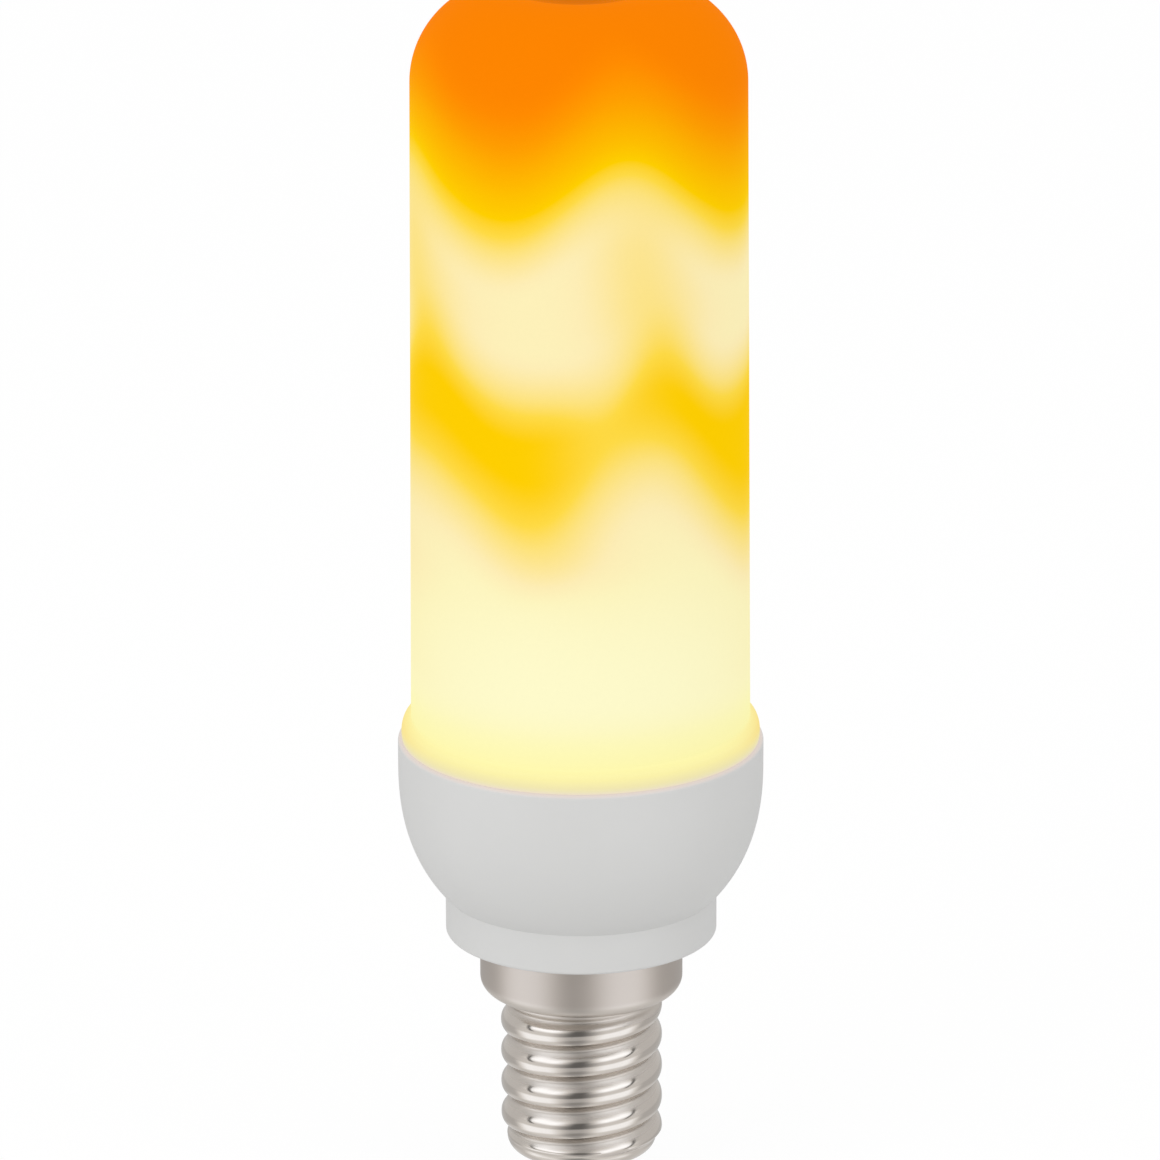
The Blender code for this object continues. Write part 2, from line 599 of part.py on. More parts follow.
def make_led_flex_board():
    """Thin board with rows of LEDs, rolled round the core, with a tail down to the control board."""
    half_led = LED_WIDTH / FLEX_INNER_RADIUS / 2
    span = 2 * math.pi - flex_seam()
    start = math.pi / 2 + flex_seam() / 2
    angles = [start]
    for column in range(LED_COLUMNS):
        middle = flex_column_angle(column)
        angles += [middle - half_led, middle + half_led, start + span * (column + 1) / LED_COLUMNS]
    heights = [FLEX_FOOT]
    for row in range(LED_ROWS):
        middle = FLEX_FOOT + (FLEX_TOP - FLEX_FOOT) * (row + 0.5) / LED_ROWS
        heights += [middle - LED_HEIGHT / 2, middle + LED_HEIGHT / 2]
    heights.append(FLEX_TOP)
    form = bmesh.new()
    bmesh.ops.create_grid(form, x_segments=len(angles) - 1, y_segments=len(heights) - 1, size=0.5)
    place_of = {}
    for vertex in form.verts:
        column = round((vertex.co.x + 0.5) * (len(angles) - 1))
        row = round((vertex.co.y + 0.5) * (len(heights) - 1))
        place_of[vertex] = (column, row)
        vertex.co = (angles[column], heights[row], 0.0)
    led_faces = []
    tail_edge = None
    for face in form.faces:
        column = min(place_of[vertex][0] for vertex in face.verts)
        row = min(place_of[vertex][1] for vertex in face.verts)
        if column % 3 == 1 and row % 2 == 1:
            led_faces.append(face)
    for edge in form.edges:
        places = sorted(place_of[vertex] for vertex in edge.verts)
        if places == [(3 * FLEX_TAIL_COLUMN + 1, 0), (3 * FLEX_TAIL_COLUMN + 2, 0)]:
            tail_edge = edge
    tail = bmesh.ops.extrude_edge_only(form, edges=[tail_edge])["geom"]
    for vertex in [item for item in tail if isinstance(item, bmesh.types.BMVert)]:
        vertex.co.y = CORE_FOOT + GAP
    outer = list(form.faces)
    bmesh.ops.recalc_face_normals(form, faces=outer)
    bmesh.ops.solidify(form, geom=outer, thickness=FLEX_THICKNESS)
    raised = bmesh.ops.extrude_discrete_faces(form, faces=led_faces)["faces"]
    lift = LED_THICKNESS if raised[0].calc_center_median().z >= -FLEX_THICKNESS / 2 else -LED_THICKNESS
    for face in raised:
        for vertex in face.verts:
            vertex.co.z += lift
    lowest = min(vertex.co.z for vertex in form.verts)
    highest = max(vertex.co.z for vertex in form.verts)
    for vertex in form.verts:
        angle, height, depth = vertex.co
        rise = depth - lowest if lift > 0 else highest - depth
        radius = FLEX_INNER_RADIUS + rise
        vertex.co = (radius * math.cos(angle), radius * math.sin(angle), height)
    bmesh.ops.recalc_face_normals(form, faces=form.faces)
    mesh = bpy.data.meshes.new("led_flex_board")
    form.to_mesh(mesh)
    form.free()
    smooth(mesh)
    return new_object("led_flex_board", mesh, BOARD_WHITE)


def header_places():
    """X positions of the header's pins."""
    return [HEADER_PITCH * (index - (HEADER_PINS - 1) / 2) for index in range(HEADER_PINS)]


def header_middle():
    """Distance of the header's pins from the driver board's middle plane."""
    return BOARD_FACE + GAP + HEADER_DEPTH / 2


def make_control_board():
    """Round board on the ledges, with holes for the header's pins."""
    middle = (CONTROL_BOARD_TOP + CONTROL_BOARD_FOOT) / 2
    board = rods("control_board", CONTROL_BOARD_RADIUS,
                 [((0, 0, CONTROL_BOARD_FOOT), (0, 0, CONTROL_BOARD_TOP))], BOARD_WHITE, TURN_STEPS)
    reach = BOARD_THICKNESS
    hole = HEADER_PIN + 2 * GAP
    places = [((hole, hole, 2 * reach), (x, header_middle(), middle)) for x in header_places()]
    add_boolean(board, boxes("pin_holes", places), "DIFFERENCE")
    return settle(board)


def make_board_header():
    """Pin header that joins the driver board to the control board."""
    top = CONTROL_BOARD_FOOT - GAP
    foot = top - HEADER_HEIGHT
    width = HEADER_PITCH * HEADER_PINS
    header = boxes("board_header", [((width, HEADER_DEPTH, HEADER_HEIGHT),
                                     (0.0, header_middle(), (top + foot) / 2))], BLACK_PLASTIC)
    pin_top = CONTROL_BOARD_TOP
    pin_foot = foot + HEADER_HEIGHT / 2
    pins = [((HEADER_PIN, HEADER_PIN, pin_top - pin_foot), (x, header_middle(), (pin_top + pin_foot) / 2))
            for x in header_places()]
    add_boolean(header, boxes("header_pins", pins), "UNION")
    return settle(header)


def make_flame_controller():
    """Sixteen-leg chip under the control board that plays the flame pattern."""
    length = CONTROLLER_SIDE_LEGS * CHIP_LEG_PITCH - CHIP_LEG_WIDTH / 2
    top = CONTROL_BOARD_FOOT - GAP
    middle = (0.0, header_middle() + HEADER_DEPTH / 2 + 2 * CHIP_LEG_REACH + CHIP_WIDTH / 2,
              top - CHIP_THICKNESS / 2)
    body = boxes("flame_controller", [((length, CHIP_WIDTH, CHIP_THICKNESS), middle)], BLACK_PLASTIC)
    legs = []
    for index in range(CONTROLLER_SIDE_LEGS):
        x = CHIP_LEG_PITCH * (index - (CONTROLLER_SIDE_LEGS - 1) / 2)
        for side in (-1, 1):
            reach = CHIP_LEG_REACH + CHIP_LEG_THICKNESS
            y = middle[1] + side * (CHIP_WIDTH + CHIP_LEG_REACH - CHIP_LEG_THICKNESS) / 2
            legs.append(((CHIP_LEG_WIDTH, reach, CHIP_LEG_THICKNESS), (x, y, middle[2])))
    add_boolean(body, boxes("controller_legs", legs), "UNION")
    return settle(body)


def make_driver_board():
    """Upright board: wide in the cup, with a narrow tail down the neck."""
    tail_top = CAVITY_FLOOR + GAP
    form = bmesh.new()
    half, tail = DRIVER_HALF_WIDTH, DRIVER_TAIL_HALF_WIDTH
    outline = [(-tail, DRIVER_FOOT), (tail, DRIVER_FOOT), (tail, tail_top), (half, tail_top),
               (half, DRIVER_TOP), (-half, DRIVER_TOP), (-half, tail_top), (-tail, tail_top)]
    corners = [form.verts.new((x, -BOARD_FACE, z)) for x, z in outline]
    face = form.faces.new(corners)
    grown = bmesh.ops.extrude_face_region(form, geom=[face], use_keep_orig=True)["geom"]
    for vertex in [item for item in grown if isinstance(item, bmesh.types.BMVert)]:
        vertex.co.y = BOARD_FACE
    bmesh.ops.recalc_face_normals(form, faces=form.faces)
    mesh = bpy.data.meshes.new("driver_board")
    form.to_mesh(mesh)
    form.free()
    return new_object("driver_board", mesh, BOARD_GREEN)


def make_can(name, radius, length, middle, axis):
    """Aluminium can of an electrolytic capacitor, with the crimp round its sealed end."""
    groove = 0.06 * radius
    outline = [
        (0.0, length / 2), (0.85 * radius, length / 2), (radius, length / 2 - 0.15 * radius),
        (radius, -0.25 * length), (radius - groove, -0.3 * length), (radius, -0.35 * length),
        (radius, -length / 2 + 0.1 * radius), (0.9 * radius, -length / 2), (0.0, -length / 2)]
    can = turned(name, outline, CAN_SLEEVE, steps=SMALL_STEPS)
    can.data.transform(Vector(axis).to_track_quat("Z", "Y").to_matrix().to_4x4())
    can.data.transform(Matrix.Translation(middle))
    return can


def make_input_capacitor():
    """Large capacitor across the front of the driver board."""
    y = -(BOARD_FACE + GAP + INPUT_CAPACITOR_RADIUS)
    z = CAVITY_FLOOR + 2 * GAP + INPUT_CAPACITOR_RADIUS
    return make_can("input_capacitor", INPUT_CAPACITOR_RADIUS, INPUT_CAPACITOR_LENGTH,
                    (0.0, y, z), (1, 0, 0))


def make_output_capacitor():
    """Small capacitor upright behind the driver board."""
    y = BOARD_FACE + GAP + OUTPUT_CAPACITOR_RADIUS
    z = CAVITY_FLOOR + 2 * GAP + OUTPUT_CAPACITOR_LENGTH / 2
    x = PART_SPACING + OUTPUT_CAPACITOR_RADIUS
    return make_can("output_capacitor", OUTPUT_CAPACITOR_RADIUS, OUTPUT_CAPACITOR_LENGTH,
                    (x, y, z), (0, 0, -1))


def make_power_inductor():
    """Drum choke: two ferrite flanges with the winding between them."""
    half = INDUCTOR_LENGTH / 2
    flange = 0.16 * INDUCTOR_LENGTH
    waist = INDUCTOR_RADIUS - INDUCTOR_WAIST
    outline = [
        (0.0, half), (INDUCTOR_RADIUS, half), (INDUCTOR_RADIUS, half - flange),
        (waist, half - flange), (waist, flange - half), (INDUCTOR_RADIUS, flange - half),
        (INDUCTOR_RADIUS, -half), (0.0, -half)]
    choke = turned("power_inductor", outline, FERRITE, steps=SMALL_STEPS)
    place = (-PART_SPACING / 2 - INDUCTOR_RADIUS, BOARD_FACE + GAP + INDUCTOR_RADIUS,
             CAVITY_FLOOR + 2 * GAP + half)
    choke.data.transform(Matrix.Translation(place))
    return choke


def make_package(name, size, top, side, leg_count, x_middle=0.0):
    """Moulded package on the driver board, with legs on its two upright sides.

    Size is across, out from the board and along it. Side is -1 in front, 1 behind.
    """
    across, out, along = size
    y = side * (BOARD_FACE + GAP + out / 2)
    z = top - along / 2
    body = boxes(name, [(size, (x_middle, y, z))], BLACK_PLASTIC)
    legs = []
    leg_out = side * (BOARD_FACE + GAP + out * 0.4)
    for index in range(leg_count):
        leg_z = z + along / leg_count * (index - (leg_count - 1) / 2)
        for edge in (-1, 1):
            x = x_middle + edge * (across + CHIP_LEG_REACH / 2) / 2
            legs.append(((CHIP_LEG_REACH, CHIP_LEG_THICKNESS, CHIP_LEG_WIDTH), (x, leg_out, leg_z)))
    if legs:
        add_boolean(body, boxes(name + "_legs", legs), "UNION")
    return settle(body)


def make_packages():
    """Chip and rectifier behind the board's tail, diode in front, shunt high on its wide part."""
    top = CAVITY_FLOOR - PART_SPACING
    chip = (CHIP_WIDTH, CHIP_THICKNESS, DRIVER_SIDE_LEGS * CHIP_LEG_PITCH - CHIP_LEG_WIDTH / 2)
    rectifier = (CHIP_WIDTH, CHIP_THICKNESS, RECTIFIER_LENGTH)
    diode = (DIODE_WIDTH, CHIP_THICKNESS, DIODE_LENGTH)
    shunt = (SENSE_WIDTH, SENSE_THICKNESS, SENSE_LENGTH)
    shunt_x = HEADER_PITCH * HEADER_PINS / 2 + PART_SPACING + SENSE_WIDTH / 2
    make_package("driver_chip", chip, top, 1, DRIVER_SIDE_LEGS)
    make_package("bridge_rectifier", rectifier, top - chip[2] - PART_SPACING, 1, 2)
    make_package("freewheel_diode", diode, top, -1, 1)
    make_package("sense_resistor", shunt, DRIVER_TOP - PART_SPACING, 1, 0, shunt_x)


def make_fusible_resistor():
    """Wire-ended resistor under the diode on the front of the tail, with its leads in line."""
    top = CAVITY_FLOOR - DIODE_LENGTH - 2 * PART_SPACING - LEAD_LENGTH
    foot = top - RESISTOR_LENGTH
    waist = 0.82 * RESISTOR_RADIUS
    cap = 0.2 * RESISTOR_LENGTH
    outline = [
        (0.0, top + LEAD_LENGTH), (LEAD_RADIUS, top + LEAD_LENGTH), (LEAD_RADIUS, top),
        (waist, top), (RESISTOR_RADIUS, top - cap / 2), (waist, top - cap), (waist, foot + cap),
        (RESISTOR_RADIUS, foot + cap / 2), (waist, foot), (LEAD_RADIUS, foot),
        (LEAD_RADIUS, foot - LEAD_LENGTH), (0.0, foot - LEAD_LENGTH)]
    resistor = turned("fusible_resistor", outline, RESISTOR_GREEN, steps=TINY_STEPS)
    resistor.data.transform(Matrix.Translation((0.0, -(BOARD_FACE + GAP + RESISTOR_RADIUS), 0.0)))
    return resistor


def make_wires():
    """The two leads from the front of the driver board's foot to the cap."""
    side = BOARD_FACE + GAP
    x = DRIVER_TAIL_HALF_WIDTH / 2 + NEUTRAL_WIRE_RADIUS
    start = DRIVER_FOOT + WIRE_JOINT
    middle = (NECK_FOOT + INSULATOR_TOP) / 2
    live_y = -(side + LIVE_WIRE_RADIUS)
    wire("live_wire", LIVE_WIRE_RADIUS, [
        (-x, live_y, start), (-x, live_y, DRIVER_FOOT), (-0.6 * x, 0.6 * live_y, NECK_FOOT),
        (0.0, 0.0, middle), (0.0, 0.0, PIN_TOP + GAP)], RED_SLEEVE)
    neutral_y = -(side + NEUTRAL_WIRE_RADIUS)
    reach = NECK_RADIUS - GAP
    wire("neutral_wire", NEUTRAL_WIRE_RADIUS, [
        (x, neutral_y, start), (x, neutral_y, DRIVER_FOOT), (x, neutral_y, NECK_FOOT),
        (1.4 * x, 0.7 * neutral_y, middle + NEUTRAL_WIRE_RADIUS),
        (0.85 * reach, 0.3 * neutral_y, middle), (reach, 0.3 * neutral_y, middle)], WHITE_SLEEVE)


clear_scene()
LAMP = new_collection("flame_effect_led_bulb")
CUTTERS = new_collection("cutters")

FROSTED = new_material("frosted_flame", (1.0, 0.72, 0.20), 0.5, glow=0.8)
WHITE_PLASTIC = new_material("white_plastic", (0.66, 0.66, 0.65), 0.45)
NICKEL = new_material("nickel_plate", (0.62, 0.60, 0.57), 0.25, 1.0)
BLACK_GLASS = new_material("black_glass", (0.02, 0.02, 0.022), 0.15)
BLACK_PLASTIC = new_material("black_plastic", (0.03, 0.03, 0.03), 0.5)
BOARD_WHITE = new_material("board_white", (0.80, 0.80, 0.78), 0.4)
BOARD_GREEN = new_material("board_green", (0.03, 0.20, 0.07), 0.4)
CAN_SLEEVE = new_material("can_sleeve", (0.03, 0.04, 0.10), 0.35)
FERRITE = new_material("ferrite", (0.06, 0.06, 0.07), 0.6)
RESISTOR_GREEN = new_material("resistor_green", (0.10, 0.28, 0.16), 0.5)
RED_SLEEVE = new_material("red_sleeve", (0.55, 0.03, 0.03), 0.45)
WHITE_SLEEVE = new_material("white_sleeve", (0.75, 0.75, 0.73), 0.45)

make_diffuser()
make_base_housing()
make_cap_shell()
make_cap_insulator()
make_centre_contact()
make_led_core()
make_led_flex_board()
make_control_board()
make_board_header()
make_flame_controller()
make_driver_board()
make_input_capacitor()
make_output_capacitor()
make_power_inductor()
make_packages()
make_fusible_resistor()
make_wires()
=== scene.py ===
"""Looks of the flame effect LED bulb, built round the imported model.

Metres, +Z up. The lamp's axis is the Z axis, its tip is at the origin and its front faces -Y.
"""

import json
import math

import bmesh
import bpy
from mathutils import Matrix, Vector


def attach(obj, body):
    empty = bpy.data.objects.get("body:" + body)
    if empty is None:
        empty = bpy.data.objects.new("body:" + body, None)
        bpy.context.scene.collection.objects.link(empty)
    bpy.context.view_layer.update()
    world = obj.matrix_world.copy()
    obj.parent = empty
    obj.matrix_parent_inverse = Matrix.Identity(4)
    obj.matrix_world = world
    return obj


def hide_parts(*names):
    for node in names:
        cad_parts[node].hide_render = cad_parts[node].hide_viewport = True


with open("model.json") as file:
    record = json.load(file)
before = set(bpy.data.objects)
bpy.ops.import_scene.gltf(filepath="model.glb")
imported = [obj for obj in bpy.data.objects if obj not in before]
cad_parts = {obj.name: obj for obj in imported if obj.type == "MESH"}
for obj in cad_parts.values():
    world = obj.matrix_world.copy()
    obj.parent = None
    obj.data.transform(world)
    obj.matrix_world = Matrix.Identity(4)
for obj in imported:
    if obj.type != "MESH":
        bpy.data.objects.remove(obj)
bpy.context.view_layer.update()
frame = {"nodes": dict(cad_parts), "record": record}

MM = 0.001

# The same sizes as the model's own
GAP = 0.3 * MM
SHEET = 0.3 * MM
CAP_HEIGHT = 25.0 * MM
THREAD_CREST_RADIUS = 6.9 * MM
THREAD_ROOT_RADIUS = 6.15 * MM
THREAD_PITCH = 2.822 * MM
THREAD_FULLNESS = 0.45
FIRST_CREST = 17.0 * MM
THREAD_RUN_IN = 1.3 * MM
THREAD_RUN_OUT = 0.65 * MM
SKIRT_RADIUS = 8.65 * MM
SKIRT_FOOT = 19.95 * MM
SKIRT_CORNER = 1.2 * MM
NECK_FILLET = 0.45 * MM
TOE_RADIUS = 6.4 * MM
TOE_CORNER = 1.2 * MM
TOE_HEIGHT = 5.3 * MM
TOE_LIP = 1.5 * MM
INSULATOR_TOP = 7.4 * MM
CONTACT_RADIUS = 2.4 * MM
CONTACT_THICKNESS = 0.9 * MM
CONTACT_EDGE = 0.4 * MM
PIN_RADIUS = 0.8 * MM
PIN_POINT = 0.7 * MM
CONE_FOOT_RADIUS = 2.9 * MM
CUP_RADIUS = 15.5 * MM
CUP_HEIGHT = 13.88 * MM
CUP_UPRIGHT = 2.43 * MM
CUP_FULLNESS = 2.3
CUP_RIM_CORNER = 0.35 * MM
HOUSING_WALL = 1.6 * MM
COLLAR_RADIUS = 11.55 * MM
COLLAR_HEIGHT = 3.5 * MM
COLLAR_CORNER = 0.3 * MM
NECK_FOOT = 10.0 * MM
NECK_WALL = 1.2 * MM
SNAP_DEPTH = 2.0 * MM
SNAP_RIDGE = 0.4 * MM
SNAP_HALF_HEIGHT = 0.5 * MM
RAIL_WIDTH = 1.0 * MM
RAIL_DEPTH = 1.3 * MM
LEDGE_COUNT = 4
LEDGE_WIDTH = 1.4 * MM
LEDGE_REACH = 2.4 * MM
CONTROL_BOARD_RADIUS = 13.1 * MM
CONTROL_BOARD_FOOT = 36.73 * MM
DRIVER_HALF_WIDTH = 9.1 * MM
DRIVER_TOP = 35.68 * MM
BOARD_THICKNESS = 1.2 * MM
DIFFUSER_TOP = 108.0 * MM
DIFFUSER_FOOT_RADIUS = 14.37 * MM
DIFFUSER_SHOULDER_RADIUS = 14.03 * MM
DIFFUSER_CORNER = 8.0 * MM
DIFFUSER_WALL = 1.3 * MM
TOP_RECESS_DEPTH = 0.4 * MM
TOP_RECESS_RIM = 0.3 * MM
FLANGE_RADIUS = 15.2 * MM
FLANGE_TOP = 44.65 * MM
FLANGE_CORNER = 1.45 * MM
SPIGOT_FOOT = 39.53 * MM

# Fine fits of the dressed lamp
COLLAR_SEAT = 0.25 * MM              # collar's underside to the skirt
SPIGOT_CHAMFER = 0.7 * SKIRT_CORNER  # on the housing's spigot, inside the skirt
SKIRT_EDGE = 0.08 * MM               # chamfer on the skirt's upper edge
FLANGE_SEAT = 0.02 * MM              # diffuser's flange to the cup's rim
FLANGE_CURL = 0.05 * MM              # how far the flange's foot curls in
FLANGE_FILLET = 0.3                  # share of the flange's bulge that blends in the tube
RECESS_SLOPE = 1.5 * TOP_RECESS_DEPTH  # width of the slope round the recess in the top
CONE_EDGE = 0.1 * MM                 # chamfer on the insulator's foot
CONE_FULLNESS = 0.8                  # exponent of its bulge: 1 gives a straight cone
CONE_SHARES = (1.0, 0.85, 0.7, 0.55, 0.4, 0.25, 0.12, 0.04)
CONTACT_BACK_EDGE = 0.15 * MM

# Facets
ROUND_STEPS = 192
THREAD_STEPS = 216
THREAD_ROWS = 112                    # down the whole thread
SMALL_STEPS = 96
BELLY_STEPS = 40
BELLY_INNER_STEPS = 16
BELLY_CROWDING = 1.25                # how much closer the belly's rows are near the collar
SHOULDER_STEPS = 32
CEILING_STEPS = 12
TUBE_STEPS = 30
FLANGE_STEPS = 20
FLANGE_CROWDING = 1.4                # how much closer the flange's rows are near the tube
CURL_STEPS = 5
RECESS_STEPS = 8
SKIRT_STEPS = 5
NEAR_AXIS = 1e-7                     # a radius under this is one point on the axis
SHARP_ANGLE = math.radians(38)

COLLAR_FOOT = CAP_HEIGHT + COLLAR_SEAT
COLLAR_TOP = CAP_HEIGHT + GAP + COLLAR_HEIGHT
RIM = COLLAR_TOP + CUP_HEIGHT
CAVITY_FLOOR = CAP_HEIGHT + GAP + HOUSING_WALL
MOUTH_RADIUS = CUP_RADIUS - HOUSING_WALL
NECK_RADIUS = THREAD_ROOT_RADIUS - SHEET - GAP
NECK_BORE = NECK_RADIUS - NECK_WALL

# Camera, measured from the photo's ellipses
CAMERA_PLACE = (-0.02 * MM, -700.0 * MM, 288.02 * MM)
CAMERA_DOWN = math.radians(18.30)
CAMERA_ROLL = math.radians(-0.163)
CAMERA_LENS = 271.4
CAMERA_CLIP = (0.01, 20.0)
SENSOR = 36.0

# The frozen flame: (azimuth in degrees, height in mm, narrowness) of each tongue round the lamp.
# In what follows, heights and radii on the lamp are in millimetres, and a pair of them is where a
# change starts and ends.
EDGE = 93.0                          # lower edge of the orange crown
EDGE_TONGUES = ((16, 5.0, 10), (-78, 3.6, 7), (-25, -2.1, 8), (74, -3.2, 5), (125, 4.0, 6),
                (-130, -2.5, 8), (172, 2.0, 7))
EDGE_BLUR = (-7.0, 1.3)              # how far under and over its edge the crown fades in
CROWN_DEPTH = (-1.8, 11.0)           # over the edge, where the crown deepens from yellow to orange
CROWN_HEAT = 0.43
CREST_LAG = 0.2                      # how much less the deepening follows the tongues
TOP_RISE = (98.0, 108.0)             # where the top deepens a little more
TOP_HEAT = 0.02
LOWER = 67.0                         # lower edge of the yellow band
LOWER_TONGUES = ((-63, 2.0, 9), (-17, -2.9, 11), (25, 4.6, 15), (82, -5.0, 7), (125, 3.5, 8),
                 (170, -4.0, 9), (-130, 3.0, 6))
UPPER = 77.2                         # upper edge of the yellow band
UPPER_TONGUES = ((-61, 3.6, 14), (-15, -1.0, 6), (29, 4.2, 24), (62, -1.6, 6), (120, 3.0, 8),
                 (165, -3.0, 9), (-125, -2.0, 6))
UPPER_SHARPNESS = 1.5                # how much sharper the upper edge is than the lower one
BAND_BLEND = 3.0                     # rounding where the two edges come near each other
BAND_BLUR = (-7.0, 5.4)              # how far outside and inside its edges the band fades in
BAND_HEAT = 0.5                      # where crown, band or wisps are full
# Where the band is faint, and where the foot is a deeper yellow: (azimuth, share, narrowness)
WEAK_PLACES = ((9, 0.21, 34), (112, 0.20, 20), (-105, 0.30, 16))
FOOT_YELLOWS = ((-82, 0.11, 6), (84, 0.10, 6), (150, 0.08, 6))
FOOT_YELLOWS_END = (58.0, 68.0)
PALE_RISE = (51.0, 68.0)             # where the pale parts turn from the foot's to the top's
PALE_HEAT = 0.165
# Wisps over the band, and one under it: (azimuth, height, narrowness, reach in mm, share)
WISPS = ((-66, 82, 12, 4.5, 0.42), (-75, 89, 12, 6.5, 0.42), (28, 82, 18, 4.5, 0.36),
         (20, 89, 20, 6.5, 0.38), (125, 85, 14, 7.0, 0.42), (-150, 84, 14, 6.5, 0.42),
         (-3, 62.5, 14, 3.5, 0.22))
# The flame's colours by heat and the foot's by height, in 0-255 display values
FLAME_RAMP = (
    (0.00, (255, 251, 204)), (0.12, (254, 246, 192)), (0.20, (254, 238, 182)),
    (0.28, (254, 232, 155)), (0.35, (254, 227, 125)), (0.42, (255, 219, 70)),
    (0.50, (255, 207, 0)), (0.62, (255, 185, 0)), (0.78, (255, 158, 0)),
    (0.90, (255, 138, 0)), (1.00, (250, 125, 0)))
FOOT_RAMP = (
    (42.7, (240, 228, 206)), (42.95, (240, 231, 188)), (43.2, (243, 233, 178)),
    (43.9, (252, 243, 171)), (44.6, (255, 249, 178)), (46.0, (255, 250, 184)),
    (48.0, (255, 250, 194)), (51.0, (255, 251, 204)))
FOOT_FADE = 46.5                     # where the foot's colours start to give way to the flame's
BEAD_ENDS = ((-92, 0.62, 10), (92, 0.68, 10), (180, 0.5, 14))
BEAD_TINT = (253, 222, 130)          # the bead's deeper yellow at the sides and behind
BEAD_START = (43.0, 43.8)
BEAD_END = (44.0, 44.9)
WAVER_SCALE = 0.09                   # slow waver in the flame's heights
WAVER = 0.6
RECESS_HEIGHT = (106.5, 107.5)       # the dimmer recess in the top
RECESS_RADIUS = (2.8, 6.4)
RECESS_DIM = 0.27
FROST_SCALE = 3.2                    # grain of the frosted tube
FROST_DIM = (0.975, 0.024)           # its darkest light, and how much the grain adds
GLOW_SHARE = 0.72                    # how much of the diffuser's colour it gives off by itself

# Mouldings
WHITE = (0.652, 0.652, 0.644)        # cup and collar, as linear light
CLOUD_SCALE = 0.16
CLOUD_ROUGHNESS = 0.06               # how far the cloudiness moves the roughness
RIM_SHARE = 0.4                      # how much of the rim's colour shines through it
RIM_TINT = (224, 212, 207)           # the cup's rim, warmed by the flame's light
RIM_GLOW = 0.32 * MM                 # how far down the rim that shows
BUMP_HEIGHT = 0.02 * MM

# Nickel plate: tones between which it varies, in 0-255 display values
CREST_TONES = ((202, 194, 186), (210, 203, 195))
# The skirt's tones are darker than the crests' as painted shade; their warmer tint is the nickel's
# own.
SKIRT_SHADE_TONES = ((189, 180, 172), (196, 187, 179))
SKIRT_SHADE_START = (20.7, 21.4)           # heights over which the skirt's painted shade starts
BURNISHED = 0.07                     # roughness of the thread's crests
SATIN = 0.33                         # roughness of the grooves and the skirt
SATIN_START = (18.15, 18.65)         # heights over which the skirt's satin starts
GROOVE_EDGE = (6.3, 6.6)             # radii over which the grooves' satin ends
GROOVE_START = (6.9, 7.5)            # heights over which it starts, over the plain toe
SMUDGE_FORM = (1.0, 1.0, 0.6)        # smudges, a little longer up the lamp than round it
SMUDGE_SCALE = 0.35
SMUDGE_ROUGHNESS = 0.06
LINE_FORM = (0.05, 0.05, 6.0)        # fine drawing lines round the lamp
LINE_ROUGHNESS = 0.04

# Studio, with azimuths from the front and elevations in degrees
AMBIENT = 0.895
# What metal sees by elevation, from straight down up: a first level, then (from, to, level)
FRONT_VIEW = (0.50, (-62, -50, 0.38), (-34, -26, 0.60), (-10, -2, 0.17), (40, 56, 0.50))
SIDE_VIEW = (0.92, (-62, -48, 0.98), (-44, -34, 1.42), (-12, -4, 0.92), (16, 36, 1.66),
             (44, 68, 0.82))
BACK_VIEW = (0.80, (-34, -26, 0.62), (-8, 0, 0.74))
SIDE_TURN = (4, 44)                  # azimuths over which the side's view takes over
BACK_TURN = (76, 106)                # azimuths over which the back's does
TURN_SHIFT = 8.0                     # how far all of it is turned
COOL = (1.0, 1.045, 1.11)            # tint of the brightest parts
COOL_LEVELS = (0.9, 1.6)
# The slanting dark gap at the end of each softbox: its level, then azimuths and elevations
# between which it starts and ends
NOTCH_LEVEL = 0.12
NOTCH_TURN = ((79, 82), (87, 91))
NOTCH_RISE = ((10, 16), (42, 50))
NOTCH_MIDDLE = 28.0                  # elevation at which its azimuths hold
FLOOR_SIZE = 6.0
FLOOR_DROP = 0.05 * MM               # under the lamp's tip
FLOOR_TONE = 0.79                    # what the floor reflects to the lamp
FLOOR_GLOW = 0.92                    # share of its white that no shadow dims
LIGHTS = (("left", (-0.50, -0.62, 0.42), 1.4), ("right", (0.55, -0.55, 0.40), 0.5))
LIGHT_SIZE = 0.5
AIM = (0.0, 0.0, 55.0 * MM)
PURE_WHITE = (1.0, 1.0, 1.0, 1.0)


def linear(colour):
    """A colour in 0-255 display values as linear light."""
    values = [part / 255 for part in colour]
    return [part / 12.92 if part <= 0.04045 else ((part + 0.055) / 1.055) ** 2.4
            for part in values]


def opaque(colour):
    """A colour in 0-255 display values as linear light with full alpha."""
    return (*linear(colour), 1.0)


